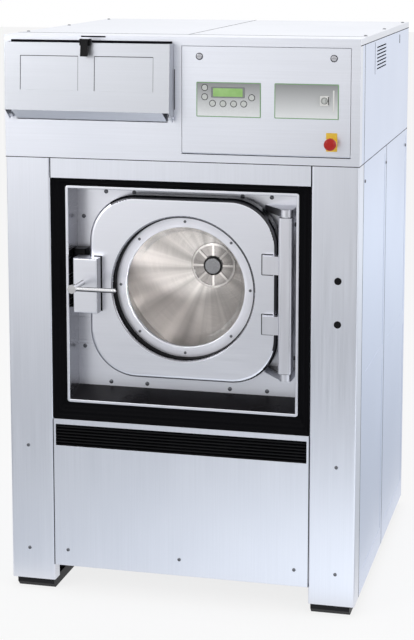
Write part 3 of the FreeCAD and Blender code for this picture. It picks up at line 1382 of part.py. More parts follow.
def grip_ears():
    """Two ears on the lid, with the pin that its grip hangs on."""
    half = GRIP_WIDTH / 2 + SEAT
    z = (GRIP_Z - GRIP_BOSS, GRIP_Z + GRIP_BOSS)
    parts = []
    for x in ((GRIP_X - half - GRIP_EAR, GRIP_X - half), (GRIP_X + half, GRIP_X + half + GRIP_EAR)):
        parts.append(box(x, (GRIP_Y - GRIP_PIN, lid_face_y(LID_TOP) + LID_SHEET), z))
    parts.append(rod(GRIP_PIN, (GRIP_X - half, GRIP_Y, GRIP_Z), 2 * half, RIGHT))
    return parts


def lid_handle():
    x = (GRIP_X - GRIP_WIDTH / 2, GRIP_X + GRIP_WIDTH / 2)
    boss = rod(GRIP_BOSS, (x[0], GRIP_Y, GRIP_Z), GRIP_WIDTH, RIGHT)
    tip = GRIP_Z - GRIP_LENGTH
    blade = prism_x([
        (GRIP_Y - GRIP_BOSS, GRIP_Z), (GRIP_Y - GRIP_BOSS - GRIP_THICKNESS, tip),
        (GRIP_Y - GRIP_BOSS, tip), (GRIP_Y, GRIP_Z),
    ], x)
    return join(boss, blade).cut(rod(GRIP_PIN + RUNNING, (x[0], GRIP_Y, GRIP_Z), GRIP_WIDTH, RIGHT))


# Control door and what it carries

def control_door():
    x = (PANEL_LEFT, PANEL_RIGHT)
    sheet = PANEL_SHEET
    flange = (FRONT, FRONT + PANEL_RETURN)
    z = (BARREL_Z, PANEL_TOP)
    skin = box(x, (FRONT, FRONT + sheet), z)
    top = box(x, flange, (PANEL_TOP - sheet, PANEL_TOP))
    left = box((x[0], x[0] + sheet), flange, z)
    right = box((x[1] - sheet, x[1]), flange, z)
    barrel = rod(PANEL_BARREL, (x[0], BARREL_Y, BARREL_Z), x[1] - x[0], RIGHT)
    door = join(skin, top, left, right, barrel)
    pin_depth = PANEL_PIN_LENGTH
    for start in (x[0], x[1] - pin_depth):
        door = door.cut(rod(PANEL_PIN + RUNNING, (start, BARREL_Y, BARREL_Z), pin_depth, RIGHT))
    holes = [rod(KEY_STEM + KEY_GAP, (key_x, FRONT, key_z), sheet) for key_x, key_z in key_places()]
    holes += [rod(LOCK_STEM + RUNNING, (lock_x, FRONT, LOCK_Z), sheet) for lock_x in lock_places()]
    holes.append(rod(STOP_STEM + HOLE_EASE, (STOP_PLACE[0], FRONT, STOP_PLACE[1]), sheet))
    holes.append(rod(SWITCH_ROTOR + HOLE_EASE, (SWITCH_PLACE[0], FRONT, SWITCH_PLACE[1]), sheet))
    return door.cut(group(holes))


def key_places():
    left = PANEL_LEFT + OVERLAY_LEFT
    bottom = PANEL_BOTTOM + OVERLAY_BOTTOM
    return [(left + x, bottom + z) for x, z in KEY_PLACES]


def lock_places():
    return [PANEL_LEFT + LOCK_FROM_LEFT, PANEL_RIGHT - LOCK_FROM_RIGHT]


def control_overlays():
    bottom = PANEL_BOTTOM + OVERLAY_BOTTOM
    z = (bottom, bottom + OVERLAY_HEIGHT)
    y = (FRONT - OVERLAY_SHEET, FRONT)
    left = PANEL_LEFT + OVERLAY_LEFT
    keypad = rounded_y((left, left + OVERLAY_WIDTH), y, z, 2 * KEY_PROUD)
    for key_x, key_z in key_places():
        keypad = keypad.cut(rod(KEY_RADIUS + KEY_GAP, (key_x, y[0], key_z), OVERLAY_SHEET))
    display_x = (left + DISPLAY_LEFT, left + DISPLAY_LEFT + DISPLAY_WIDTH)
    display_z = (bottom + DISPLAY_BOTTOM, bottom + DISPLAY_BOTTOM + DISPLAY_HEIGHT)
    display = rounded_y(display_x, (y[0] - DISPLAY_PROUD, y[0]), display_z, 2 * DISPLAY_PROUD)
    info_x = (left + OVERLAY_WIDTH + INFO_GAP, PANEL_RIGHT - INFO_FROM_RIGHT)
    info = rounded_y(info_x, y, z, 2 * KEY_PROUD)
    switch_x, switch_z = SWITCH_PLACE
    half_x = SWITCH_WIDTH / 2
    half_z = SWITCH_HEIGHT / 2
    bezel = rounded_y(
        (switch_x - half_x, switch_x + half_x), (y[0] - SWITCH_PROUD, y[0]),
        (switch_z - half_z, switch_z + half_z), 2 * KEY_PROUD)
    rotor_start = (switch_x, y[0] - SWITCH_PROUD, switch_z)
    rotor_hole = rod(SWITCH_ROTOR + RUNNING, rotor_start, SWITCH_PROUD + OVERLAY_SHEET)
    return group([keypad, display, info.cut(rotor_hole), bezel.cut(rotor_hole), key_board()])


def key_board():
    """The switch board behind the keys, on its posts."""
    left = PANEL_LEFT + OVERLAY_LEFT
    bottom = PANEL_BOTTOM + OVERLAY_BOTTOM
    front = FRONT + PANEL_SHEET + BOARD_STANDOFF
    board_z = (bottom, bottom + OVERLAY_HEIGHT)
    board = box((left, left + OVERLAY_WIDTH), (front, front + BOARD_SHEET), board_z)
    posts = []
    inset = BOARD_POST_INSET
    for x in (left + inset, left + OVERLAY_WIDTH - inset):
        for z in (bottom + inset, bottom + OVERLAY_HEIGHT - inset):
            posts.append(rod(BOARD_POST, (x, FRONT + PANEL_SHEET, z), BOARD_STANDOFF))
    return join(board, *posts)


def key(place):
    x, z = place
    back = FRONT - KEY_TRAVEL - KEY_GAP / 2
    cap = screw_head((x, back, z), OUT, KEY_RADIUS, KEY_PROUD + KEY_GAP)
    stem_end = FRONT + PANEL_SHEET + BOARD_STANDOFF - KEY_TRAVEL - KEY_GAP
    return join(cap, rod(KEY_STEM, (x, back, z), stem_end - back))


def panel_lock(x):
    head = screw_head((x, FRONT, LOCK_Z), OUT, LOCK_HEAD, LOCK_HEAD_PROUD)
    stem = rod(LOCK_STEM, (x, FRONT, LOCK_Z), LOCK_STEM_LENGTH)
    half = LOCK_SCREW_SLOT / 2
    slot = box(
        (x - LOCK_HEAD, x + LOCK_HEAD), (FRONT - LOCK_HEAD_PROUD, FRONT - LOCK_HEAD_PROUD / 2),
        (LOCK_Z - half, LOCK_Z + half))
    return join(head, stem).cut(slot)


def key_switch():
    x, z = SWITCH_PLACE
    face = FRONT - OVERLAY_SHEET - SWITCH_PROUD
    rotor = rod(SWITCH_ROTOR, (x, face, z), FRONT + SWITCH_BODY - face)
    half = SWITCH_KNOB / 2
    reach = SWITCH_ROTOR - half
    knob = box((x - half, x + half), (face - SWITCH_KNOB, face), (z - reach, z + reach))
    return join(rotor, knob)


def estop_plate():
    x, z = STOP_PLACE
    half_x = STOP_PLATE_WIDTH / 2
    half_z = STOP_PLATE_HEIGHT / 2
    plate_z = z + STOP_PLATE_RISE
    plate = rounded_y(
        (x - half_x, x + half_x), (FRONT - STOP_PLATE, FRONT),
        (plate_z - half_z, plate_z + half_z), STOP_PLATE)
    collar_start = (x, FRONT - STOP_PLATE - STOP_COLLAR_PROUD, z)
    collar = rod(STOP_COLLAR, collar_start, STOP_COLLAR_PROUD)
    bore = rod(STOP_STEM + RUNNING, collar_start, STOP_PLATE + STOP_COLLAR_PROUD)
    return join(plate, collar).cut(bore)


def estop_button():
    x, z = STOP_PLACE
    head_back = FRONT - STOP_PLATE - STOP_COLLAR_PROUD - STOP_TRAVEL - STOP_TRAVEL_SPARE
    head = screw_head((x, head_back, z), OUT, STOP_RADIUS, STOP_HEAD)
    stem = rod(STOP_STEM, (x, head_back, z), FRONT + STOP_BODY - head_back)
    return join(head, stem)


def build():
    """Every node of the machine, by name."""
    nodes = {
        "skid_rails": skid_rails(),
        "base_frame": base_frame(),
        "column_covers": column_covers(),
        "front_panels": front_panels(),
        "intake_grille": intake_grille(),
        "tub_gasket": tub_gasket(),
        "side_panels": side_panels(),
        "rear_panels": rear_panels(),
        "upper_front_frame": upper_front_frame(),
        "top_covers": top_covers(),
        "cabinet_screws": cabinet_screws(),
        "column_plugs": column_plugs(),
        "dispenser_hopper": dispenser_hopper(),
        "rear_connections": rear_connections(),
        "inverter_box": inverter_box(),
        "damper_cylinders": damper_cylinders(),
        "suspension_springs": suspension_springs(),
        "tub_shell": tub_shell(),
        "tub_front_plate": tub_front_plate(),
        "front_frame": front_frame(),
        "plate_screws": plate_screws(),
        "hinge_brackets": hinge_brackets(),
        "lock_housing": lock_housing(),
        "bearing_housing": bearing_housing(),
        "bearings": bearings(),
        "motor_housing": motor_housing(),
        "drive_belt": drive_belt(),
        "damper_rods": damper_rods(),
        "drain_valve": drain_valve(),
        "tub_hoses": tub_hoses(),
        "drum_shell": drum_shell(),
        "drum_back": drum_back(),
        "drum_lifters": drum_lifters(),
        "drum_shaft": drum_shaft(),
        "drum_pulley": drum_pulley(),
        "motor_rotor": motor_rotor(),
        "door_shell": door_shell(),
        "glass_ring": glass_ring(),
        "door_glass": door_glass(),
        "door_seal": door_seal(),
        "hinge_bar": hinge_bar(),
        "latch_block": latch_block(),
        "ring_screws": ring_screws(),
        "latch_handle": latch_handle(),
        "dispenser_lid": dispenser_lid(),
        "lid_handle": lid_handle(),
        "control_door": control_door(),
        "control_overlays": control_overlays(),
        "estop_plate": estop_plate(),
        "estop_button": estop_button(),
        "key_switch": key_switch(),
    }
    for name, x in zip(("panel_lock_left", "panel_lock_right"), lock_places()):
        nodes[name] = panel_lock(x)
    for number, place in enumerate(key_places(), start=1):
        nodes[f"key_{number}"] = key(place)
    return nodes


os.makedirs("parts", exist_ok=True)
for node, shape in build().items():
    shape.exportStep(f"parts/{node}.step")
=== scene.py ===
"""Looks of a soft-mounted washer-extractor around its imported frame: metres, +Z up, front towards -Y."""
import math

import bmesh
import bpy
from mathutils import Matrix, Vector

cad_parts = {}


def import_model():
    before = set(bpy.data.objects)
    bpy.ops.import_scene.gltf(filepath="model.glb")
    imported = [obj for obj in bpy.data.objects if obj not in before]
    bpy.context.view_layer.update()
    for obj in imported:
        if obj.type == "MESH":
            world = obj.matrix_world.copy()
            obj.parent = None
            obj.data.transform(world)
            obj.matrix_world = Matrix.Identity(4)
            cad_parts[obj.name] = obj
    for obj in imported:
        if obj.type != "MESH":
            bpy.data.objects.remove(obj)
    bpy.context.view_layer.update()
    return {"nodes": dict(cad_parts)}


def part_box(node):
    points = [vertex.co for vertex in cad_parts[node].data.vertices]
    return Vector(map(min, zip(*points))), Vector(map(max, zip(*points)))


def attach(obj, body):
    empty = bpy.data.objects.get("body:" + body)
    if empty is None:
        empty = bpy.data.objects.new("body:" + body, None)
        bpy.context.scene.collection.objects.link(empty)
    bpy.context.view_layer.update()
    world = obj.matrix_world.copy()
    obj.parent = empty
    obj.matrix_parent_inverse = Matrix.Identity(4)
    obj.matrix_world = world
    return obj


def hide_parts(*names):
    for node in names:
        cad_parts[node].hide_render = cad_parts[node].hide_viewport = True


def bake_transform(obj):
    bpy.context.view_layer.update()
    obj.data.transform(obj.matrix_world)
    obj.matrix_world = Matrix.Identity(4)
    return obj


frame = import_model()
nodes = frame["nodes"]

# Ways and places that several pieces share

OUT = Vector((0, -1, 0))
UP = Vector((0, 0, 1))
RIGHT = Vector((1, 0, 0))
Y_AXIS = (0, 1, 0)
Z_AXIS = (0, 0, 1)
FRONT = -0.5
AXIS_Z = sum(corner.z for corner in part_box("door_shell")) / 2
PORT = (0, 0, AXIS_Z)
SEAM_Z = 1.259
TOP_Z = 1.6
LID_TOP = 1.582
LID_FRONT = -0.542
LID_SLOPE = 0.010 / 0.186
PAD_X = (0.053, 0.229)
PAD_Z = (1.386, 1.478)
INFO_X = (0.269, 0.441)


# Node helpers

WHITE = (1, 1, 1)
NOISE_BAND = (0.3, 0.7)
FIBRE_BAND = (0.25, 0.75)
PAINTED_FAN_BAND = (0.38, 0.62)
DOT_BAND = (0.1, 0.6)
RELIEF_DEPTH = 0.0004
BEVEL_SAMPLES = 4


def start(name):
    """A new node material, with its tree and its main shader."""
    made = bpy.data.materials.new(name)
    made.use_nodes = True
    return made, made.node_tree, made.node_tree.nodes["Principled BSDF"]


def put(tree, kind, inputs=None, **settings):
    """One node with its settings, and its inputs set to values or linked to sockets."""
    made = tree.nodes.new("ShaderNode" + kind)
    for key, value in settings.items():
        setattr(made, key, value)
    for key, value in (inputs or {}).items():
        if isinstance(value, bpy.types.NodeSocket):
            tree.links.new(value, made.inputs[key])
        else:
            made.inputs[key].default_value = value
    return made


def spot(tree, scale=(1, 1, 1)):
    """Object coordinates, stretched along the axes."""
    coords = put(tree, "TexCoord").outputs["Object"]
    return put(tree, "Mapping", {"Vector": coords, "Scale": scale}).outputs["Vector"]


def noise(tree, vector, scale, detail):
    made = put(tree, "TexNoise", {"Vector": vector, "Scale": scale, "Detail": detail})
    return made.outputs["Fac"]


def spread(tree, value, source, target):
    """A value carried from one range to another."""
    made = put(tree, "MapRange", {
        "Value": value, "From Min": source[0], "From Max": source[1],
        "To Min": target[0], "To Max": target[1],
    })
    return made.outputs["Result"]


def shade(tree, value, low, high, band=NOISE_BAND):
    """From one colour to another over a band of a value; a noise mostly lies in the usual band."""
    ramp = put(tree, "ValToRGB", {"Fac": value})
    for element, position, colour in zip(ramp.color_ramp.elements, band, (low, high)):
        element.position = position
        element.color = (*colour, 1)
    return ramp.outputs["Color"]


def tinted(colour, factor):
    return tuple(min(1, part * factor) for part in colour)


def streaked(tree, value, colour, depth, band=NOISE_BAND):
    """A colour that gets darker and lighter by the same share."""
    return shade(tree, value, tinted(colour, 1 - depth), tinted(colour, 1 + depth), band)


def times(tree, first, second):
    """Two colours multiplied."""
    made = tree.nodes.new("ShaderNodeMix")
    made.data_type = "RGBA"
    made.blend_type = "MULTIPLY"
    made.inputs["Factor"].default_value = 1
    tree.links.new(first, made.inputs[6])
    tree.links.new(second, made.inputs[7])
    return made.outputs[2]


def math_node(tree, operation, *values):
    made = tree.nodes.new("ShaderNodeMath")
    made.operation = operation
    for socket, value in zip(made.inputs, values):
        if isinstance(value, bpy.types.NodeSocket):
            tree.links.new(value, socket)
        else:
            socket.default_value = value
    return made.outputs["Value"]


def set_colour(tree, shader, first, second):
    tree.links.new(times(tree, first, second), shader.inputs["Base Color"])


def set_roughness(tree, shader, value, low, high, band=NOISE_BAND):
    tree.links.new(spread(tree, value, band, (low, high)), shader.inputs["Roughness"])


def set_normal(tree, shader, height, strength, edge):
    """Fine relief over softly rounded edges."""
    rounded = put(tree, "Bevel", {"Radius": edge}, samples=BEVEL_SAMPLES).outputs["Normal"]
    bump = put(tree, "Bump", {"Height": height, "Strength": strength, "Distance": RELIEF_DEPTH,
                              "Normal": rounded})
    tree.links.new(bump.outputs["Normal"], shader.inputs["Normal"])


def set_surface(tree, shader_socket):
    tree.links.new(shader_socket, tree.nodes["Material Output"].inputs["Surface"])


# Materials

def steel(name, colour, roughness, grain, fine=240, streak=0.025, edge=0.0012, relief=0.05):
    """Brushed sheet: fine lines along one axis, soft clouds and a rolled edge."""
    made, tree, shader = start(name)
    fibre = noise(tree, spot(tree, grain), fine, 4)
    cloud = noise(tree, spot(tree), 2.2, 3)
    set_colour(tree, shader, streaked(tree, fibre, colour, streak, FIBRE_BAND),
               shade(tree, cloud, (0.94, 0.945, 0.955), WHITE))
    shader.inputs["Metallic"].default_value = 1
    set_roughness(tree, shader, fibre, roughness - 0.05, roughness + 0.05, FIBRE_BAND)
    set_normal(tree, shader, fibre, relief, edge)
    return made


def turned_steel(name, colour, roughness, anisotropy, streak=0.08, metallic=1.0, painted_fan_depth=0.28):
    """Sheet spun about the drum's axis: ring-shaped tool marks, and light fans painted into its colour as
    painted highlights.
    """
    made, tree, shader = start(name)
    parts = put(tree, "SeparateXYZ", {"Vector": spot(tree)}).outputs
    lift = math_node(tree, "SUBTRACT", parts["Z"], AXIS_Z)
    square = math_node(tree, "ADD", math_node(tree, "MULTIPLY", parts["X"], parts["X"]),
                       math_node(tree, "MULTIPLY", lift, lift))
    radius = math_node(tree, "SQRT", square)
    turn = math_node(tree, "ARCTAN2", lift, parts["X"])
    ring = put(tree, "CombineXYZ", {"X": radius, "Y": math_node(tree, "MULTIPLY", turn, 0.01)})
    marks = noise(tree, ring.outputs["Vector"], 320, 3)
    # Painted highlights: light fans by angle round the axis, painted into the base colour.
    painted_fan_way = put(tree, "CombineXYZ", {"X": math_node(tree, "SINE", turn), "Y": math_node(tree, "COSINE", turn)})
    painted_fan = noise(tree, painted_fan_way.outputs["Vector"], 3.2, 4)
    set_colour(tree, shader, streaked(tree, marks, colour, streak),
               shade(tree, painted_fan, tinted(WHITE, 1 - painted_fan_depth), WHITE, PAINTED_FAN_BAND))
    shader.inputs["Metallic"].default_value = metallic
    shader.inputs["Anisotropic"].default_value = anisotropy
    tangent = put(tree, "Tangent", direction_type="RADIAL", axis="Y").outputs["Tangent"]
    tree.links.new(tangent, shader.inputs["Tangent"])
    set_roughness(tree, shader, marks, roughness - 0.05, roughness + 0.05)
    set_normal(tree, shader, marks, 0.06, 0.001)
    return made


def coated(name, colour, roughness, speckle, scale, relief, edge=0.001, metallic=0.0, specular=0.5):
    """Paint, rubber or moulded plastic: slight mottling and a fine skin."""
    made, tree, shader = start(name)
    skin = noise(tree, spot(tree), scale, 4)
    cloud = noise(tree, spot(tree), 6, 3)
    set_colour(tree, shader, streaked(tree, skin, colour, speckle),
               shade(tree, cloud, (0.88, 0.88, 0.88), WHITE))
    shader.inputs["Metallic"].default_value = metallic
    shader.inputs["Specular IOR Level"].default_value = specular
    set_roughness(tree, shader, cloud, roughness - 0.06, roughness + 0.06)
    set_normal(tree, shader, skin, relief, edge)
    return made


def graded(name, low, high, span, roughness):
    """Printed film whose grey changes from its lower to its upper edge."""
    made, tree, shader = start(name)
    height = put(tree, "SeparateXYZ", {"Vector": spot(tree)}).outputs["Z"]
    ramp = shade(tree, spread(tree, height, span, (0, 1)), low, high, (0, 1))
    print_dots = noise(tree, spot(tree), 900, 2)
    set_colour(tree, shader, ramp, shade(tree, print_dots, (0.95, 0.95, 0.95), WHITE))
    set_roughness(tree, shader, print_dots, roughness - 0.05, roughness + 0.05)
    set_normal(tree, shader, print_dots, 0.04, 0.0005)
    return made


def window_glass(name):
    """Clear glass: what is behind shows, with a faint mirror on top."""
    made, tree, shader = start(name)
    shader.inputs["Base Color"].default_value = (0.95, 0.96, 0.97, 1)
    shader.inputs["Metallic"].default_value = 1.0
    set_roughness(tree, shader, noise(tree, spot(tree), 9, 4), 0.02, 0.06)
    clear = put(tree, "BsdfTransparent", {"Color": (0.99, 0.99, 0.985, 1)})
    edge_on = put(tree, "Fresnel", {"IOR": 1.2}).outputs["Fac"]
    share = math_node(tree, "ADD", math_node(tree, "MULTIPLY", edge_on, 0.4), 0.008)
    both = put(tree, "MixShader", {0: share, 1: clear.outputs["BSDF"], 2: shader.outputs["BSDF"]})
    set_surface(tree, both.outputs["Shader"])
    return made


def lcd(name):
    """Green display with faint dot rows."""
    made, tree, shader = start(name)
    dots = put(tree, "TexWave", {"Vector": spot(tree), "Scale": 260.0, "Distortion": 0.0},
               wave_type="BANDS", bands_direction="X").outputs["Fac"]
    cloud = noise(tree, spot(tree), 30, 2)
    set_colour(tree, shader, shade(tree, cloud, (0.27, 0.50, 0.15), (0.36, 0.60, 0.22)),
               shade(tree, dots, (0.93, 0.94, 0.93), WHITE, DOT_BAND))
    set_roughness(tree, shader, cloud, 0.15, 0.22)
    return made


PANEL = (0.78, 0.80, 0.865)
SHEET = 0.36
SATIN = 0.32
UPRIGHT_GRAIN = (1, 1, 0.015)
LEVEL_GRAIN = (0.015, 0.015, 1)
TOP_GRAIN = (0.015, 1, 1)
X_GRAIN = (0.02, 1, 1)
Y_GRAIN = (1, 0.02, 1)
Z_GRAIN = (1, 1, 0.02)
NO_GRAIN = (1, 1, 1)
SMOOTH = {"streak": 0.012, "edge": 0.0006, "relief": 0.01}
looks = {
    "upright": steel("brushed_upright", PANEL, SHEET, UPRIGHT_GRAIN),
    "level": steel("brushed_level", PANEL, SHEET, LEVEL_GRAIN),
    "lid": steel("brushed_lid", (0.565, 0.58, 0.62), SHEET, LEVEL_GRAIN),
    # Painted light: a lighter copy of the steel for the lid's downward lip.
    "lip": steel("brushed_lip_painted_light", (0.93, 0.935, 0.96), SHEET, LEVEL_GRAIN),
    "side": steel("brushed_side", (0.71, 0.765, 0.90), 0.38, UPRIGHT_GRAIN),
    "top": steel("brushed_top", (0.76, 0.78, 0.835), SHEET, TOP_GRAIN),
    "polished": steel("satin_polished", (0.85, 0.86, 0.92), SATIN, X_GRAIN, **SMOOTH),
    "hinge": steel("satin_hinge", (0.79, 0.795, 0.85), SATIN, Z_GRAIN, **SMOOTH),
    "chrome": steel("chrome_lever", (0.80, 0.80, 0.82), 0.09, Y_GRAIN, streak=0.01, relief=0.01),
    # Painted shade: a near-black copy of the steel, for the door's upper edge, the lever's bands, the gussets
    # and the hub's edges.
    "edge": steel("painted_shade_edge", (0.05, 0.05, 0.055), 0.25, Y_GRAIN, streak=0.03, relief=0.03),
    # Painted shade: a darker copy of the satin steel, for the frame's inner walls and the door's porthole
    # rim.
    "shaded": steel("satin_painted_shade", (0.33, 0.33, 0.36), 0.25, Y_GRAIN, streak=0.03, relief=0.03),
    # Bright plating on the locks, rods and bearings; on the latch block's side and the hub's boss the same
    # colour is painted shade.
    "bright": steel("bright_plated_and_painted_shade", (0.50, 0.50, 0.53), 0.12, Y_GRAIN, streak=0.02, relief=0.02),
    "screw": steel("screw_plain", (0.16, 0.165, 0.18), 0.3, NO_GRAIN, fine=500, edge=0.0004),
    "galvanised": steel("zinc_sheet", (0.55, 0.57, 0.60), 0.42, NO_GRAIN, fine=60, streak=0.14),
    # The drum and the ring carry painted light fans (painted highlights) in their colour.
    "drum": turned_steel("spun_drum", (0.85, 0.82, 0.81), 0.34, 0.85, metallic=0.6, painted_fan_depth=0.4),
    # Painted shade and painted highlight: darker and lighter copies of the spun steel for the hub's sectors
    # and ribs.
    "hub": turned_steel("spun_hub_painted_shade", (0.15, 0.14, 0.138), 0.4, 0.5, metallic=0.5),
    "rib": turned_steel("spun_rib_painted_highlight", (0.29, 0.277, 0.272), 0.4, 0.7, metallic=0.5),
    "ring": turned_steel("spun_ring", (0.86, 0.865, 0.93), 0.34, 0.0, 0.03, painted_fan_depth=0.05),
    "cast": coated("cast_grey", (0.24, 0.25, 0.26), 0.5, 0.2, 220, 0.3, metallic=0.6),
    "motor": coated("motor_enamel", (0.10, 0.15, 0.26), 0.42, 0.1, 160, 0.2),
    "black_paint": coated("black_enamel", (0.008, 0.008, 0.010), 0.5, 0.2, 260, 0.15, specular=0.2),
    # Painted dark reflection: the sill of the polished frame, painted near-black.
    "sill": coated("sill_painted_dark_reflection", (0.014, 0.013, 0.015), 0.3, 0.2, 260, 0.05, specular=0.06),
    "grey_paint": coated("grey_enamel", (0.26, 0.28, 0.30), 0.45, 0.08, 220, 0.15),
    "rubber": coated("black_rubber", (0.003, 0.003, 0.004), 0.55, 0.2, 320, 0.1, specular=0.04),
    "black_plastic": coated("black_moulding", (0.005, 0.005, 0.006), 0.45, 0.15, 420, 0.1, specular=0.12),
    "brass": coated("brass_turned", (0.62, 0.44, 0.17), 0.3, 0.06, 300, 0.08, metallic=1.0),
    "yellow": coated("yellow_moulding", (0.82, 0.55, 0.05), 0.4, 0.04, 500, 0.06),
    "red": coated("red_moulding", (0.45, 0.018, 0.014), 0.35, 0.04, 500, 0.04, specular=0.25),
    "white": coated("white_moulding", (0.78, 0.78, 0.76), 0.4, 0.03, 500, 0.05),
    "key": coated("key_moulding", (0.58, 0.60, 0.58), 0.42, 0.05, 700, 0.06),
    "bezel": coated("bezel_moulding", (0.22, 0.23, 0.23), 0.38, 0.05, 700, 0.06),
    "green": coated("green_print", (0.22, 0.42, 0.20), 0.4, 0.05, 700, 0.06),
    "seam": coated("seam_shadow", (0.012, 0.012, 0.015), 0.8, 0.2, 300, 0.1, edge=0.0002, specular=0.0),
    "board": coated("circuit_board", (0.03, 0.14, 0.06), 0.4, 0.1, 300, 0.1),
    "glass": window_glass("door_glass_clear"),
    "lcd": lcd("display_green"),
    "film": graded("printed_film", (0.80, 0.82, 0.83), (0.27, 0.275, 0.28), PAD_Z, 0.4),
}
NODE_LOOKS = {
    "upright": ["column_covers", "front_panels"],
    "level": ["upper_front_frame", "control_door"],
    "lid": ["dispenser_lid"],
    "side": ["side_panels"],
    "top": ["top_covers"],
    "polished": ["tub_front_plate", "front_frame", "door_shell", "latch_block", "dispenser_hopper",
                 "tub_shell"],
    "hinge": ["hinge_brackets", "hinge_bar"],
    "bright": ["panel_lock_left", "panel_lock_right", "damper_rods", "bearings"],
    "chrome": ["latch_handle"],
    "screw": ["drum_shaft"],
    "galvanised": ["rear_panels"],
    "drum": ["drum_shell", "drum_back", "drum_lifters"],
    "ring": ["glass_ring"],
    "cast": ["bearing_housing", "drum_pulley", "motor_rotor"],
    "motor": ["motor_housing"],
    "black_paint": ["skid_rails", "damper_cylinders", "suspension_springs"],
    "grey_paint": ["base_frame", "inverter_box"],
    "black_plastic": ["intake_grille", "column_plugs", "lock_housing", "drain_valve", "lid_handle"],
    "brass": ["rear_connections"],
    "yellow": ["estop_plate"],
    "red": ["estop_button"],
    "key": ["key_switch"] + [f"key_{number}" for number in range(1, 8)],
}
for look, names in NODE_LOOKS.items():
    for name in names:
        mesh = nodes[name].data
        mesh.materials.clear()
        mesh.materials.append(looks[look])


# Faces of CAD nodes with a look of their own

FACING = 0.7
LEANING = 0.3
LIP_OUT = 0.1
FRAME_LIP = 0.022
DOOR_FLAT = 0.995
DOOR_RIM = 0.22
DARK_WAY = Vector((0.6, 0, 0.8))
DARK_SHARE = 0.35
HUB_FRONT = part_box("drum_back")[0].y
HUB_REACH = 0.0685
HUB_FLAT = 0.9
BOSS_DEPTH = 0.001
RIB_DEPTH = 0.012
LEVER_TOP = 0.9
EAR_REACH = 0.006
EAR_PROUD = 0.0004
EAR_HEIGHT = 0.007


def dress(node, extra, pick):
    """Adds looks to a CAD node and gives each face the one whose number pick returns; 0 is its own."""
    mesh = nodes[node].data
    for look in extra:
        mesh.materials.append(looks[look])
    for face in mesh.polygons:
        face.material_index = pick(face.center, face.normal)


def frame_face(at, normal):
    """1 for the front frame's inner walls and ceiling, painted darker as painted shade, 2 for the sill under
    the door, painted near-black as a painted dark reflection.
    """
    if normal.z > FACING and at.z < AXIS_Z:
        return 2
    wall = -normal.x * math.copysign(1, at.x) > FACING and at.y > FRONT + FRAME_LIP
    ceiling = normal.z < -FACING and at.z > AXIS_Z
    return 1 if wall or ceiling else 0


def door_face(at, normal):
    """1 for the door's outer edge at the top and the hinge side, painted near-black as a painted dark
    reflection, 2 for its rim round the porthole, painted darker as painted shade.
    """
    if abs(normal.y) > DOOR_FLAT:
        return 0
    away = Vector((at.x, 0, at.z - AXIS_Z))
    flat = Vector((normal.x, 0, normal.z))
    if flat.dot(away) < 0:
        return 2
    dark = max(flat.x, flat.normalized().dot(DARK_WAY)) > DARK_SHARE
    return 1 if away.length > DOOR_RIM and dark else 0


def hub_face(at, normal):
    """In the middle of the drum's back, shaded and lit copies of the spun steel as painted shade and painted
    highlights: 1 for the darker sectors, 2 for the near-black edges, 3 for the lighter ribs, 4 for the grey
    boss.
    """
    if math.hypot(at.x, at.z - AXIS_Z) > HUB_REACH:
        return 0
    if normal.y > -HUB_FLAT:
        return 2
    depth = at.y - HUB_FRONT
    if depth < BOSS_DEPTH:
        return 4
    return 3 if depth < RIB_DEPTH else 1


def block_face(at, normal):
    """1 for the latch block's side towards the glass, a darker copy of the steel as painted shade."""
    return 1 if normal.x > FACING else 0


def lever_face(at, normal):
    """1 for the dark bands under and along the top of the latch handle, which are painted shade."""
    return 1 if normal.z < -LEANING or normal.z > LEVER_TOP else 0


def hinge_face(at, normal):
    """1 for the gusset faces that look towards the middle of the hinge, painted near-black as painted shade.
    """
    return 1 if normal.z * (AXIS_Z - at.z) > LEANING * abs(at.z - AXIS_Z) else 0


def drain_face(at, normal):
    """1 for the drain's part of the rear connections."""
    return 1 if at.z < AXIS_Z else 0


def dress_lid():
    """Black ears beside the lid's grip, and a lip along its lower edge painted lighter as painted light."""
    low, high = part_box("lid_handle")

    def lid_face(at, normal):
        near = low.x - EAR_REACH < at.x < high.x + EAR_REACH
        if near and at.y < LID_FRONT - EAR_PROUD and at.z > LID_TOP - EAR_HEIGHT:
            return 1
        return 2 if normal.z < -LEANING and normal.y < -LIP_OUT else 0

    dress("dispenser_lid", ["black_plastic", "lip"], lid_face)


# Painted shade on the frame's inner walls and a painted dark reflection on its sill.
dress("front_frame", ["shaded", "sill"], frame_face)
# Painted dark reflection on the door's upper and hinge-side edge, painted shade on its porthole rim.
dress("door_shell", ["edge", "shaded"], door_face)
# Painted shade and painted highlights on the hub.
dress("drum_back", ["hub", "edge", "rib", "bright"], hub_face)
# Painted shade on the latch block's side.
dress("latch_block", ["bright"], block_face)
# Painted shade: dark bands on the chrome handle.
dress("latch_handle", ["edge"], lever_face)
# Painted shade on the hinge gussets.
dress("hinge_brackets", ["edge"], hinge_face)
dress_lid()
dress("rear_connections", ["bezel"], drain_face)


# Mesh helpers

MERGE = 1e-6
CORNER_SHARE = 0.45
BEAD_TOP = 0.7
ROUND_STEPS = 128
SMALL_STEPS = 40


def link(name, data):
    """An object in the scene for a mesh, a lamp or a camera."""
    piece = bpy.data.objects.new(name, data)
    bpy.context.scene.collection.objects.link(piece)
    return piece


def closed_mesh(name, points, faces):
    """A mesh with doubled points merged and its faces turned outwards."""
    mesh = bpy.data.meshes.new(name)
    mesh.from_pydata([tuple(point) for point in points], [], faces)
    shape = bmesh.new()
    shape.from_mesh(mesh)
    bmesh.ops.remove_doubles(shape, verts=shape.verts, dist=MERGE)
    bmesh.ops.recalc_face_normals(shape, faces=shape.faces)
    shape.to_mesh(mesh)
    shape.free()
    return mesh


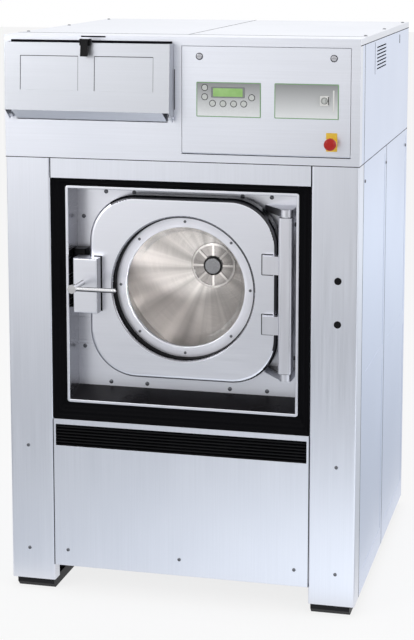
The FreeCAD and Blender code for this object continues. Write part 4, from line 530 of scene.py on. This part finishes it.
def add_mesh(name, points, faces, look, body, slot, replaced=(), crease=32):
    """A closed mesh piece with its look, its body and the CAD nodes that it stands for."""
    mesh = closed_mesh(name, points, faces)
    mesh.shade_smooth()
    mesh.set_sharp_from_angle(angle=math.radians(crease))
    piece = link(name, mesh)
    mesh.materials.append(looks[look])
    if body:
        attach(piece, body)
    if replaced:
        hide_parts(*replaced)
    return piece


def joined(parts):
    """Points and faces of several forms as those of one."""
    points = []
    faces = []
    for more, more_faces in parts:
        faces += [tuple(index + len(points) for index in face) for face in more_faces]
        points += more
    return points, faces


def tube_faces(rings, count, closed):
    """Quads between rings of points, round each ring and, if closed, from the last ring to the first."""
    faces = []
    for ring in range(rings if closed else rings - 1):
        low = ring * count
        high = (ring + 1) % rings * count
        for number in range(count):
            after = (number + 1) % count
            faces.append((low + number, low + after, high + after, high + number))
    return faces


def lathe(profile, centre, axis, steps):
    """Points and faces of a closed (radius, along) outline turned about an axis."""
    axis = Vector(axis)
    side = axis.orthogonal().normalized()
    other = axis.cross(side)
    points = []
    for step in range(steps):
        turn = 2 * math.pi * step / steps
        out = side * math.cos(turn) + other * math.sin(turn)
        points += [Vector(centre) + axis * along + out * radius for radius, along in profile]
    return points, tube_faces(steps, len(profile), True)


def rounded_corners(corners, radius, steps=5):
    """A closed outline of 2-D corners with each corner rounded."""
    made = []
    total = len(corners)
    for number, corner in enumerate(corners):
        here = Vector(corner)
        before = Vector(corners[number - 1]) - here
        after = Vector(corners[(number + 1) % total]) - here
        reach = min(radius, CORNER_SHARE * before.length, CORNER_SHARE * after.length)
        first = here + before.normalized() * reach
        last = here + after.normalized() * reach
        for step in range(steps + 1):
            t = step / steps
            made.append(first * (1 - t) ** 2 + here * 2 * t * (1 - t) + last * t ** 2)
    return made


def rounded_profile(corners, radius, steps):
    return [tuple(point) for point in rounded_corners(corners, radius, steps)]


def box_outline(x, z, radius, steps=5):
    corners = [(x[0], z[0]), (x[1], z[0]), (x[1], z[1]), (x[0], z[1])]
    return rounded_corners(corners, radius, steps)


def plate(name, x, z, y, radius, look, body, slot, replaced=(), ease=0.0004):
    """A thin rounded plate between two depths, its front edge eased."""
    full = box_outline(x, z, radius)
    inner = box_outline((x[0] + ease, x[1] - ease), (z[0] + ease, z[1] - ease), radius)
    rings = [(full, y[1]), (full, y[0] + ease), (inner, y[0])]
    points = [(px, depth, pz) for outline, depth in rings for px, pz in outline]
    count = len(full)
    faces = tube_faces(len(rings), count, False)
    faces.append(tuple(range(count)))
    faces.append(tuple(range(2 * count, 3 * count)))
    return add_mesh(name, points, faces, look, body, slot, replaced)


def bars(name, lines, look, body, slot):
    """Flat beads with eased edges: each has a start, an end, an outward way, a width and a height."""
    parts = []
    for first, last, outward, width, height in lines:
        first, last, outward = Vector(first), Vector(last), Vector(outward)
        across = (last - first).normalized().cross(outward) * (width / 2)
        lift = outward * height
        section = [across * -1, across, across * BEAD_TOP + lift, across * -BEAD_TOP + lift]
        points = [end + corner for end in (first, last) for corner in section]
        parts.append((points, tube_faces(2, 4, False) + [(0, 1, 2, 3), (4, 5, 6, 7)]))
    add_mesh(name, *joined(parts), look, body, slot, crease=20)


def islands(name):
    """Lowest and highest corner of each separate solid in a CAD node."""
    shape = bmesh.new()
    shape.from_mesh(nodes[name].data)
    bmesh.ops.remove_doubles(shape, verts=shape.verts, dist=MERGE)
    left = set(shape.verts)
    found = []
    while left:
        stack = [left.pop()]
        members = []
        while stack:
            vertex = stack.pop()
            members.append(vertex.co.copy())
            for edge in vertex.link_edges:
                other = edge.other_vert(vertex)
                if other in left:
                    left.remove(other)
                    stack.append(other)
        low = Vector(min(point[k] for point in members) for k in range(3))
        high = Vector(max(point[k] for point in members) for k in range(3))
        found.append((low, high))
    shape.free()
    return sorted(found, key=lambda pair: tuple(pair[0]))


def middle(node):
    """X and Z of a node's middle."""
    low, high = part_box(node)
    return (low.x + high.x) / 2, (low.z + high.z) / 2


# Screws

HEAD_STEPS = 24
HEAD_PROFILE = [(1.0, 0.0), (1.0, 0.3), (0.94, 0.55), (0.8, 0.8), (0.62, 0.95)]
SOCKET_REACH = 0.42
SOCKET_LEVELS = (1.0, 0.45)


def hex_reach(turn):
    """Reach of a six-sided socket at an angle, for a unit inner width."""
    sixth = math.pi / 3
    return 1 / math.cos((turn + sixth / 2) % sixth - sixth / 2)


def head_mesh(seat, way, radius, height):
    """Points and faces of a low screw head with a six-sided socket."""
    side = way.orthogonal().normalized()
    other = way.cross(side)
    rings = [[(radius * reach, height * lift)] * HEAD_STEPS for reach, lift in HEAD_PROFILE]
    turns = [2 * math.pi * number / HEAD_STEPS for number in range(HEAD_STEPS)]
    for lift in SOCKET_LEVELS:
        rings.append([(radius * SOCKET_REACH * hex_reach(turn), height * lift) for turn in turns])
    points = []
    for ring in rings:
        for turn, (reach, lift) in zip(turns, ring):
            points.append(seat + way * lift + (side * math.cos(turn) + other * math.sin(turn)) * reach)
    faces = tube_faces(len(rings), HEAD_STEPS, False)
    faces.append(tuple(range(HEAD_STEPS)))
    faces.append(tuple(range(len(points) - HEAD_STEPS, len(points))))
    return points, faces


def screws(node, body, slot):
    """Socket heads in place of a node's plain ones."""
    heads = []
    for low, high in islands(node):
        size = high - low
        thin = min(range(3), key=lambda k: size[k])
        centre = (low + high) / 2
        way = Vector((0, 0, 0))
        way[thin] = -1 if thin == 1 or (thin == 0 and centre.x < 0) else 1
        seat = centre - way * (size[thin] / 2)
        heads.append(head_mesh(seat, way, max(size) / 2, size[thin]))
    add_mesh(f"{node}_heads", *joined(heads), "screw", body, slot, (node,), crease=40)


screws("cabinet_screws", "cabinet", "screw_steel")
screws("plate_screws", "tub", "screw_steel")
screws("ring_screws", "door", "screw_steel")


# Soft pieces, belt and springs

GASKET_WIDE = ((-0.3697, 0.3697), (0.5103, 1.2027))
GASKET_NARROW = ((-0.3343, 0.3343), (0.5557, 1.1803))
GASKET_WIDE_CORNER = 0.006
GASKET_NARROW_CORNER = 0.009
GASKET_FRONT = -0.4985
GASKET_DEPTH = 0.020
GASKET_FOLDS = 2
GASKET_WAVE = 0.0024
GASKET_THICK = 0.0036
GASKET_STEPS = 28
SEAL_INNER = 0.204
SEAL_OUTER = 0.234
HOSE_WALL = 0.0034
HOSE_CUFF = 0.016
HOSE_ENDS = 0.036
HOSE_PITCH = 0.012
HOSE_RIB = ((0.15, -0.0012), (0.4, 0.0016), (0.7, 0.0016), (0.95, -0.0012))
HOSE_STEPS = 48
BELT_LARGE = 0.2003
BELT_SMALL = 0.0453
BELT_BACK = 0.006
BELT_ROOT = 0.0022
BELT_TIP = 0.0004
BELT_RIBS = 9
BELT_LARGE_STEPS = 72
BELT_SMALL_STEPS = 32


def gasket_bellows():
    """The rubber bellows between the cabinet's opening and the tub's frame, with two soft folds."""
    wide = box_outline(*GASKET_WIDE, GASKET_WIDE_CORNER, 4)
    narrow = box_outline(*GASKET_NARROW, GASKET_NARROW_CORNER, 4)
    front = []
    for step in range(GASKET_STEPS + 1):
        t = step / GASKET_STEPS
        wave = GASKET_WAVE * (1 - math.cos(2 * math.pi * GASKET_FOLDS * t))
        front.append((t, GASKET_FRONT + GASKET_DEPTH * t + wave))
    profile = front + [(t, depth + GASKET_THICK) for t, depth in reversed(front)]
    points = []
    for far, near in zip(wide, narrow):
        for t, depth in profile:
            flat = far * (1 - t) + near * t
            points.append((flat.x, depth, flat.y))
    piece = add_mesh("gasket_bellows", points, tube_faces(len(wide), len(profile), True),
                     "rubber", None, "black_rubber", ("tub_gasket",), crease=60)
    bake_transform(piece)


def door_lip_seal():
    """Moulded ring on the back of the door: a foot, a narrow neck and a soft lip."""
    low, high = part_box("door_seal")
    y0, y1 = low.y, high.y
    span = y1 - y0
    inner, outer = SEAL_INNER, SEAL_OUTER
    corners = [
        (inner, y0), (outer, y0), (outer, y0 + 0.25 * span), (outer - 0.008, y0 + 0.38 * span),
        (outer - 0.006, y0 + 0.62 * span), (outer - 0.001, y0 + 0.9 * span), (outer - 0.004, y1),
        (outer - 0.016, y1 - 0.0004), (inner + 0.006, y0 + 0.72 * span), (inner + 0.009, y0 + 0.45 * span),
        (inner, y0 + 0.25 * span),
    ]
    points, faces = lathe(rounded_profile(corners, 0.003, 3), PORT, Y_AXIS, ROUND_STEPS)
    add_mesh("door_lip_seal", points, faces, "rubber", "door", "black_rubber", ("door_seal",), crease=50)


def ribbed_hose(name, first, last, axis, outer):
    """A corrugated hose between two points, with plain cuffs at both ends."""
    first, last = Vector(first), Vector(last)
    length = (last - first).length
    inner = outer - HOSE_WALL
    ribs = max(3, round((length - HOSE_ENDS) / HOSE_PITCH))
    profile = [(inner, 0.0), (outer, 0.0), (outer, HOSE_CUFF)]
    pitch = (length - 2 * HOSE_CUFF) / ribs
    for rib in range(ribs):
        base = HOSE_CUFF + rib * pitch
        for share, lift in HOSE_RIB:
            profile.append((outer + lift, base + share * pitch))
    profile += [(outer, length - HOSE_CUFF), (outer, length), (inner, length)]
    points, faces = lathe(profile, first, axis, HOSE_STEPS)
    piece = add_mesh(name, points, faces, "rubber", None, "black_rubber", ("tub_hoses",), crease=60)
    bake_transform(piece)


def tub_hoses():
    """The drain hose, which runs backwards, and the fill hose, which runs upwards."""
    drain, fill = sorted(islands("tub_hoses"), key=lambda pair: pair[0].z)
    low, high = drain
    centre = (low + high) / 2
    ribbed_hose("drain_hose", (centre.x, low.y, centre.z), (centre.x, high.y, centre.z),
                Y_AXIS, (high.x - low.x) / 2)
    low, high = fill
    centre = (low + high) / 2
    ribbed_hose("fill_hose", (centre.x, centre.y, low.z), (centre.x, centre.y, high.z),
                Z_AXIS, (high.x - low.x) / 2)


def poly_v_belt():
    """The ribbed drive belt round the drum pulley and the motor pulley."""
    low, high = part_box("drive_belt")
    drum = Vector((0, AXIS_Z))
    motor = Vector(middle("motor_rotor"))
    across = motor - drum
    lean = math.acos((BELT_LARGE - BELT_SMALL) / across.length)
    heading = math.atan2(across.y, across.x)
    width = high.y - low.y
    section = [(BELT_BACK, 0.0), (BELT_BACK, width)]
    for rib in range(BELT_RIBS):
        right = width - rib * width / BELT_RIBS
        section += [(BELT_TIP, right - BELT_TIP), (BELT_ROOT, right - width / BELT_RIBS / 2)]
    section.append((BELT_TIP, BELT_TIP))
    path = []
    for step in range(BELT_LARGE_STEPS + 1):
        turn = heading + lean + (2 * math.pi - 2 * lean) * step / BELT_LARGE_STEPS
        path.append((drum, BELT_LARGE, turn))
    for step in range(BELT_SMALL_STEPS + 1):
        turn = heading - lean + 2 * lean * step / BELT_SMALL_STEPS
        path.append((motor, BELT_SMALL, turn))
    points = []
    for centre, radius, turn in path:
        way = Vector((math.cos(turn), math.sin(turn)))
        for lift, along in section:
            flat = centre + way * (radius + lift)
            points.append((flat.x, low.y + along, flat.y))
    add_mesh("poly_v_belt", points, tube_faces(len(path), len(section), True),
             "rubber", "tub", "black_rubber", ("drive_belt",), crease=30)


def spring_coils():
    """The suspension springs between the base frame and the tub."""
    mesh = nodes["suspension_springs"].data
    piece = add_mesh("spring_coils", [vertex.co for vertex in mesh.vertices],
                     [tuple(face.vertices) for face in mesh.polygons],
                     "black_paint", None, "spring_steel", ("suspension_springs",), crease=45)
    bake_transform(piece)


gasket_bellows()
door_lip_seal()
tub_hoses()
poly_v_belt()
spring_coils()


# Door glass and trim

FLANGE_Y = (-0.422, -0.416)
BOWL_Y = (-0.380, -0.3742)
BOWL_AXIS = 0.0002
TRIM_Y = (-0.4515, -0.4286)
TRIM_OVERLAP = 0.0008
TRIM_STEPS = 144


def bowl_glass():
    """The pressed glass bowl with a flat flange and rounded shoulders."""
    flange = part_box("glass_ring")[1].x
    back = [(flange, FLANGE_Y[1]), (0.1705, FLANGE_Y[1]), (0.1505, BOWL_Y[1])]
    front = [(0.1445, BOWL_Y[0]), (0.1645, FLANGE_Y[0]), (flange, FLANGE_Y[0])]
    corners = back + [(BOWL_AXIS, BOWL_Y[1]), (BOWL_AXIS, BOWL_Y[0])] + front
    points, faces = lathe(rounded_profile(corners, 0.010, 6), PORT, Y_AXIS, ROUND_STEPS)
    add_mesh("glass_bowl", points, faces, "glass", "door", "clear_glass", ("door_glass",), crease=70)


def porthole_trim():
    """Black rubber edge that lines the porthole in front of the clamping ring."""
    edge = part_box("glass_ring")[1].x + TRIM_OVERLAP
    corners = [(edge, TRIM_Y[0]), (edge, TRIM_Y[1]), (edge - 0.0043, TRIM_Y[1]), (edge - 0.0033, -0.436),
               (edge - 0.0023, -0.4505)]
    points, faces = lathe(rounded_profile(corners, 0.002, 3), PORT, Y_AXIS, TRIM_STEPS)
    add_mesh("porthole_trim", points, faces, "rubber", "door", "black_rubber", crease=50)


bowl_glass()
porthole_trim()


# Control door faces

FILM = 0.0012
FILM_CORNER = 0.0028
KEY_HOLE = 0.0077
BEZEL = 0.0022
BEZEL_X = (0.093, 0.186)
BEZEL_Z = (1.4373, 1.4663)
WINDOW = 0.0026
WINDOW_X = (BEZEL_X[0] + 0.0055, BEZEL_X[1] - 0.0055)
WINDOW_Z = (BEZEL_Z[0] + 0.0032, BEZEL_Z[1] - 0.0032)
SWITCH = 0.0052
SWITCH_X = 0.4045
SWITCH_Z = 1.435
SWITCH_PLATE_X = (SWITCH_X - 0.0125, SWITCH_X + 0.0125)
SWITCH_PLATE_Z = (SWITCH_Z - 0.0135, SWITCH_Z + 0.0135)
SWITCH_HOLE = [(SWITCH_X, SWITCH_Z, 0.00805)]
DRILL_REACH = 0.01
DRILL_AXIS = 0.0001
OVERLAYS = ("control_overlays",)


def layer(outer, inner):
    """Depths of a layer on the cabinet's front, from how far its two faces stand out."""
    return FRONT - outer, FRONT - inner


def pierced_plate(name, x, z, y, radius, holes, look, body, slot, replaced=()):
    """A thin plate with round holes, cut by a boolean."""
    piece = plate(name, x, z, y, radius, look, body, slot, replaced)
    drills = []
    for centre_x, centre_z, reach in holes:
        profile = [(DRILL_AXIS, -DRILL_REACH), (reach, -DRILL_REACH),
                   (reach, DRILL_REACH), (DRILL_AXIS, DRILL_REACH)]
        drills.append(lathe(profile, (centre_x, (y[0] + y[1]) / 2, centre_z), Y_AXIS, SMALL_STEPS))
    cutter = link(f"{name}_holes", closed_mesh(f"{name}_holes", *joined(drills)))
    cut = piece.modifiers.new("holes", "BOOLEAN")
    cut.object = cutter
    cut.operation = "DIFFERENCE"
    cut.solver = "EXACT"
    bpy.context.view_layer.update()
    depsgraph = bpy.context.evaluated_depsgraph_get()
    made = bpy.data.meshes.new_from_object(piece.evaluated_get(depsgraph))
    piece.modifiers.clear()
    piece.data = made
    bpy.data.objects.remove(cutter)


def rims(name, places, inner, outer, y, look, body, slot):
    """Flat rings with eased edges round several centres, facing the front."""
    corners = [(inner, y[1]), (outer, y[1]), (outer, y[0]), (inner, y[0])]
    profile = rounded_profile(corners, 0.0003, 2)
    rings = [lathe(profile, (x, 0, z), Y_AXIS, SMALL_STEPS) for x, z in places]
    add_mesh(name, *joined(rings), look, body, slot, crease=50)


key_places = [middle(f"key_{number}") for number in range(1, 8)]
lock_places = [middle("panel_lock_left"), middle("panel_lock_right")]
pierced_plate("keypad_film", PAD_X, PAD_Z, layer(FILM, 0), FILM_CORNER,
              [(x, z, KEY_HOLE) for x, z in key_places], "film", "control_door", "grey_plastic", OVERLAYS)
pierced_plate("info_film", INFO_X, PAD_Z, layer(FILM, 0), FILM_CORNER, SWITCH_HOLE,
              "film", "control_door", "grey_plastic", OVERLAYS)
plate("display_bezel", BEZEL_X, BEZEL_Z, layer(BEZEL, FILM), 0.002,
      "bezel", "control_door", "grey_plastic", OVERLAYS)
plate("display_window", WINDOW_X, WINDOW_Z, layer(WINDOW, BEZEL), 0.001,
      "lcd", "control_door", "grey_plastic", ease=0.0002)
pierced_plate("switch_bezel", SWITCH_PLATE_X, SWITCH_PLATE_Z, layer(SWITCH, FILM), FILM_CORNER, SWITCH_HOLE,
              "white", "control_door", "white_plastic", OVERLAYS)
plate("info_bar", (0.4266, 0.4306), (1.406, 1.463), layer(0.0016, FILM), 0.0008,
      "white", "control_door", "white_plastic", ease=0.0002)
plate("circuit_board", PAD_X, PAD_Z, layer(-0.0087, -0.0103), 0.002,
      "board", "control_door", "grey_plastic", OVERLAYS)

rims("switch_rim", [(SWITCH_X, SWITCH_Z)], 0.0081, 0.0090, layer(0.0056, SWITCH),
     "seam", "control_door", "black_rubber")
# Painted shade: a dark ring round the hub's edge.
rims("hub_shadow_rim", [(0, AXIS_Z)], 0.0660, 0.0680, (-0.0872, -0.086), "edge", "drum", "drum_steel")
rims("key_rims", key_places, 0.0079, 0.0092, layer(0.0016, FILM), "seam", "control_door", "grey_plastic")
rims("lock_rims", lock_places, 0.0082, 0.0098, layer(FILM, 0), "seam", "control_door", "black_rubber")


# Frames round the printed films, shadow lines, and seams between panels

FILM_EDGE = 0.0026
FILM_EDGE_Y = FRONT - FILM + 0.0002
# Painted shadow: a dark bar beside the switch bezel, where its shadow falls.
SWITCH_SHADOW_X = SWITCH_X + 0.0108
SWITCH_SHADOW_REACH = 0.011
SWITCH_SHADOW_LOW = (SWITCH_SHADOW_X, FRONT - SWITCH, SWITCH_Z - SWITCH_SHADOW_REACH)
SWITCH_SHADOW_HIGH = (SWITCH_SHADOW_X, FRONT - SWITCH, SWITCH_Z + SWITCH_SHADOW_REACH)
SWITCH_SHADOW_WIDTH = 0.0024
SWITCH_SHADOW_PROUD = 0.0003
LID_FIELDS_X = ((-0.4365, -0.2705), (-0.2235, -0.0575))
LID_FIELD_Z = (1.452, 1.546)
LID_LINE_PROUD = 0.0003
LID_LINE_TOP = 0.0018
LID_LINE_LEFT = 0.0014
LID_LINE_RIGHT = 0.0008
ARM_GAP = 0.0062
ARM_HEIGHT = 0.084
ARM_BELOW = 0.0315
ARM_ABOVE = 0.0265
DOOR_EDGE = 0.013
LINE_WIDE = 0.0026
LINE_THIN = 0.0022
LINE_PROUD = 0.0006
BLOCK_GAP = 0.0012
SEAM = 0.0022
PROUD = 0.0004
SIDE_X = 0.5
REAR_Y = 0.4985
TOP_JOINT_Y = -0.382
COLUMN_X = 0.37
COLUMN_Y = -0.42
SIDE_JOINT_Y = 0.024
SKIRT_Z = 0.03
RIM_Z = 1.582
OPENING_Z = (0.51, 1.203)
LID_GAP_Z = 1.5838
LID_GAP = 0.0070
LID_CHEEK_SHADOW_X = -0.0096
TOP_LINE_Z = 1.5975
VENT_Y = -0.238
SLOT_Y = 0.283
SLOT = 0.011


def frame_lines(x, z):
    """Four beads round a printed film on the front."""
    y = FILM_EDGE_Y
    corners = [Vector((x[0], y, z[0])), Vector((x[1], y, z[0])),
               Vector((x[1], y, z[1])), Vector((x[0], y, z[1]))]
    return [(corners[n], corners[(n + 1) % 4], OUT, FILM_EDGE, PROUD) for n in range(4)]


def lid_lines():
    """Shadow lines along the upper and side edges of the lid's two pressed fields."""
    outward = Vector((0, -1, LID_SLOPE)).normalized()
    lines = []

    def on_lid(x, z):
        return Vector((x, LID_FRONT - LID_SLOPE * (LID_TOP - z), z))

    low, high = LID_FIELD_Z
    for left, right in LID_FIELDS_X:
        lines.append((on_lid(left, high), on_lid(right, high), outward, LID_LINE_TOP, LID_LINE_PROUD))
        lines.append((on_lid(left, low), on_lid(left, high), outward, LID_LINE_LEFT, LID_LINE_PROUD))
        lines.append((on_lid(right, low), on_lid(right, high), outward, LID_LINE_RIGHT, LID_LINE_PROUD))
    return lines


def arm_lines():
    """Shadow lines beside the two hinge arms and the latch block on the door."""
    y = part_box("door_shell")[0].y
    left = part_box("hinge_bar")[0].x - ARM_GAP
    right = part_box("door_shell")[1].x - DOOR_EDGE
    lines = []
    for middle_z in (AXIS_Z - ARM_HEIGHT, AXIS_Z + ARM_HEIGHT):
        low_z, high_z = middle_z - ARM_BELOW, middle_z + ARM_ABOVE
        lines.append(((left, y, low_z), (left, y, high_z), OUT, LINE_WIDE, LINE_PROUD))
        lines.append(((left, y, high_z), (right, y, high_z), OUT, LINE_THIN, LINE_PROUD))
        lines.append(((left, y, low_z), (right, y, low_z), OUT, LINE_THIN, LINE_PROUD))
    low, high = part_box("latch_block")
    side_x, top_z = high.x + BLOCK_GAP, high.z + BLOCK_GAP
    edge_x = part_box("door_shell")[0].x + DOOR_EDGE
    lines.append(((side_x, y, low.z), (side_x, y, top_z), OUT, LINE_WIDE, LINE_PROUD))
    lines.append(((edge_x, y, top_z), (side_x, y, top_z), OUT, LINE_WIDE, LINE_PROUD))
    return lines


def panel_seams():
    """Joints between the cabinet's panels, a dark bar in the gap above the lid whose darkness is painted
    shade, a painted shadow beside the lid's right cheek, and dark gaps on the right side.
    """
    foot_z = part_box("front_panels")[0].z
    seams = [
        ((-SIDE_X, FRONT, SEAM_Z), (SIDE_X, FRONT, SEAM_Z), OUT, SEAM, PROUD),
        ((-SIDE_X, TOP_JOINT_Y, TOP_Z), (SIDE_X, TOP_JOINT_Y, TOP_Z), UP, SEAM, PROUD),
        ((0, TOP_JOINT_Y, TOP_Z), (0, 0.5, TOP_Z), UP, SEAM, PROUD),
    ]
    for side in (-1, 1):
        way = RIGHT * side
        x = SIDE_X * side
        column = COLUMN_X * side
        seams += [
            ((x, FRONT, SEAM_Z), (x, REAR_Y, SEAM_Z), way, SEAM, PROUD),
            ((x, COLUMN_Y, SKIRT_Z), (x, COLUMN_Y, RIM_Z), way, SEAM, PROUD),
            ((x, SIDE_JOINT_Y, SKIRT_Z), (x, SIDE_JOINT_Y, SEAM_Z), way, SEAM, PROUD),
            ((x, FRONT, RIM_Z), (x, REAR_Y, RIM_Z), way, SEAM, PROUD),
            ((column, FRONT, foot_z), (column, FRONT, OPENING_Z[0]), OUT, SEAM, PROUD),
            ((column, FRONT, OPENING_Z[1]), (column, FRONT, SEAM_Z), OUT, SEAM, PROUD),
        ]
    seams += [
        # The gap above the lid is real; the dark bar in it is painted shade.
        ((-0.478, FRONT, LID_GAP_Z), (-0.016, FRONT, LID_GAP_Z), OUT, LID_GAP, 0.003),
        # Painted shadow of the lid's right cheek on the front.
        ((LID_CHEEK_SHADOW_X, FRONT, 1.402), (LID_CHEEK_SHADOW_X, FRONT, 1.512), OUT, SEAM, PROUD),
        ((-0.275, FRONT, TOP_LINE_Z), (-0.205, FRONT, TOP_LINE_Z), OUT, 0.004, PROUD),
        ((SIDE_X, VENT_Y, 1.487), (SIDE_X, VENT_Y, 1.577), RIGHT, SEAM, PROUD),
        ((SIDE_X, SLOT_Y, 1.545), (SIDE_X, SLOT_Y, 1.571), RIGHT, SLOT, PROUD),
    ]
    rear_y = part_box("rear_panels")[1].y
    seams.append(((-0.498, rear_y, SEAM_Z), (0.498, rear_y, SEAM_Z), -OUT, SEAM, PROUD))
    return seams


bars("film_edges", frame_lines(PAD_X, PAD_Z) + frame_lines(INFO_X, PAD_Z), "green", "control_door",
     "grey_plastic")
# Painted shadow of the switch bezel.
bars("switch_shadow", [(SWITCH_SHADOW_LOW, SWITCH_SHADOW_HIGH, OUT, SWITCH_SHADOW_WIDTH, SWITCH_SHADOW_PROUD)], "seam", "control_door", "black_rubber")
bars("lid_lines", lid_lines(), "seam", "lid", "black_rubber")
bars("arm_lines", arm_lines(), "seam", "door", "black_rubber")
bars("panel_seams", panel_seams(), "seam", "cabinet", "black_rubber")


# Stage, lights and camera

FLOOR_REACH = 30
FLOOR_WHITE = 0.82
MAT_HEIGHT = 0.002
MAT_TINT = (0.90, 0.945, 1)
WORLD_LEVELS = (0.55, 1.0)
BEAM_TARGET = (0, -0.43, AXIS_Z)
BEAM_ANGLE = 4.0
CAMERA_PLACE = (1.1822, -4.9557, 1.8576)
CAMERA_YAW = 13.88
CAMERA_PITCH = 7.99


def seen(tree):
    """1 for what the camera sees, straight or in metal and glass, and 0 for light that falls on things."""
    path = put(tree, "LightPath").outputs
    return math_node(tree, "MAXIMUM", path["Is Camera Ray"],
                     math_node(tree, "MAXIMUM", path["Is Glossy Ray"], path["Is Transmission Ray"]))


def sheet(name, x, y, z):
    """A level sheet of the stage."""
    mesh = bpy.data.meshes.new(name)
    corners = [(x[0], y[0], z), (x[1], y[0], z), (x[1], y[1], z), (x[0], y[1], z)]
    mesh.from_pydata(corners, [], [(0, 1, 2, 3)])
    return link(name, mesh)


def floor():
    """A pale floor that looks white and keeps the machine's shadow."""
    piece = sheet("floor", (-FLOOR_REACH, FLOOR_REACH), (-FLOOR_REACH, FLOOR_REACH), 0)
    made, tree, shader = start("pale_floor")
    shader.inputs["Base Color"].default_value = (0.86, 0.865, 0.875, 1)
    shader.inputs["Roughness"].default_value = 0.7
    shader.inputs["Specular IOR Level"].default_value = 0.2
    share = math_node(tree, "MULTIPLY", seen(tree), FLOOR_WHITE)
    white = put(tree, "Emission", {"Color": (1, 1, 1, 1), "Strength": 1.0})
    both = put(tree, "MixShader", {0: share, 1: shader.outputs["BSDF"], 2: white.outputs["Emission"]})
    set_surface(tree, both.outputs["Shader"])
    piece.data.materials.append(made)


def mat(name, x, y, level):
    """A grey studio mat on the floor, which only reflections show; its level changes from place to place."""
    piece = sheet(name, x, y, MAT_HEIGHT)
    made, tree, _ = start(name)
    parts = put(tree, "SeparateXYZ", {"Vector": spot(tree)}).outputs
    tint = shade(tree, spread(tree, parts["Y"], (-5, -1.2), (0, 1)), WHITE, MAT_TINT, (0, 1))
    grey = put(tree, "Emission", {"Color": tint, "Strength": level(tree, parts["X"], parts["Y"])})
    set_surface(tree, grey.outputs["Emission"])
    piece.data.materials.append(made)
    piece.visible_camera = False
    piece.visible_diffuse = False
    piece.visible_transmission = False
    piece.visible_shadow = False


def front_level(tree, x, y):
    """Lighter near the machine's right foot and far out on its left, darker between."""
    near = math_node(tree, "MULTIPLY", spread(tree, y, (-2.8, -1.2), (0, 1)),
                     math_node(tree, "MULTIPLY_ADD", x, 0.62, 0.72))
    far = math_node(tree, "MULTIPLY", spread(tree, y, (-4.5, -8), (0, 1)),
                    math_node(tree, "MULTIPLY_ADD", x, -0.26, 0.11))
    between = math_node(tree, "MULTIPLY_ADD", x, -0.11, 0.33)
    total = math_node(tree, "ADD", math_node(tree, "ADD", near, far), between)
    return math_node(tree, "MINIMUM", math_node(tree, "MAXIMUM", total, 0.25), 1.3)


def side_level(tree, x, y):
    """Darker beside the machine, lighter behind it."""
    return spread(tree, y, (0.6, 5.5), (0.62, 1.18))


def world():
    """An even white studio, dimmer as a light than it looks."""
    made = bpy.data.worlds.new("studio")
    bpy.context.scene.world = made
    made.use_nodes = True
    tree = made.node_tree
    tree.nodes.clear()
    strength = spread(tree, seen(tree), (0, 1), WORLD_LEVELS)
    back = put(tree, "Background", {"Color": (1, 1, 1, 1), "Strength": strength})
    out = tree.nodes.new("ShaderNodeOutputWorld")
    tree.links.new(back.outputs["Background"], out.inputs["Surface"])


def aim(piece, place, way):
    """Puts a lamp or the camera in its place, looking along a way."""
    piece.location = place
    piece.rotation_mode = "QUATERNION"
    piece.rotation_quaternion = way.to_track_quat("-Z", "Y")


def softbox(name, place, target, size, power):
    lamp = bpy.data.lights.new(name, "AREA")
    lamp.shape = "RECTANGLE"
    lamp.size, lamp.size_y = size
    lamp.energy = power
    aim(link(name, lamp), place, Vector(target) - Vector(place))


def beam(name, place, power):
    """A narrow lamp for the inside of the drum, which leaves no bright dot in the glass."""
    lamp = bpy.data.lights.new(name, "SPOT")
    lamp.spot_size = math.radians(BEAM_ANGLE)
    lamp.spot_blend = 0.4
    lamp.shadow_soft_size = 0.03
    lamp.energy = power
    piece = link(name, lamp)
    aim(piece, place, Vector(BEAM_TARGET) - Vector(place))
    unlit = bpy.data.collections.new(name + "_unlit")
    unlit.objects.link(bpy.data.objects["glass_bowl"])
    unlit.collection_objects[0].light_linking.link_state = "EXCLUDE"
    piece.light_linking.receiver_collection = unlit


def camera():
    lens = bpy.data.cameras.new("photo_view")
    lens.lens = 95.57
    lens.sensor_width = 36
    lens.shift_y = -0.22
    lens.clip_end = 100
    piece = link("photo_view", lens)
    yaw, pitch = math.radians(CAMERA_YAW), math.radians(CAMERA_PITCH)
    ahead = Vector((-math.sin(yaw) * math.cos(pitch), math.cos(yaw) * math.cos(pitch), -math.sin(pitch)))
    aim(piece, CAMERA_PLACE, ahead)
    bpy.context.scene.camera = piece


floor()
mat("front_mat", (-8, 8), (-14, -0.62), front_level)
mat("side_mat", (0.62, 6), (-0.5, 8), side_level)
world()
softbox("key", (-3.6, -4.8, 3.3), (0, -0.2, 0.9), (3.0, 2.4), 100)
softbox("fill", (4.4, -2.2, 2.6), (0.3, 0, 0.9), (2.0, 2.6), 50)
softbox("top", (0.2, 0.6, 4.6), (0, 0, 1.2), (3.0, 3.0), 45)
beam("port_low", (1.5, -4.8, 0.35), 2500)
beam("port_high", (-0.6, -4.6, 2.4), 600)
beam("port_side", (1.3, -4.8, 1.9), 600)
camera()
bpy.context.scene.view_settings.view_transform = "Standard"
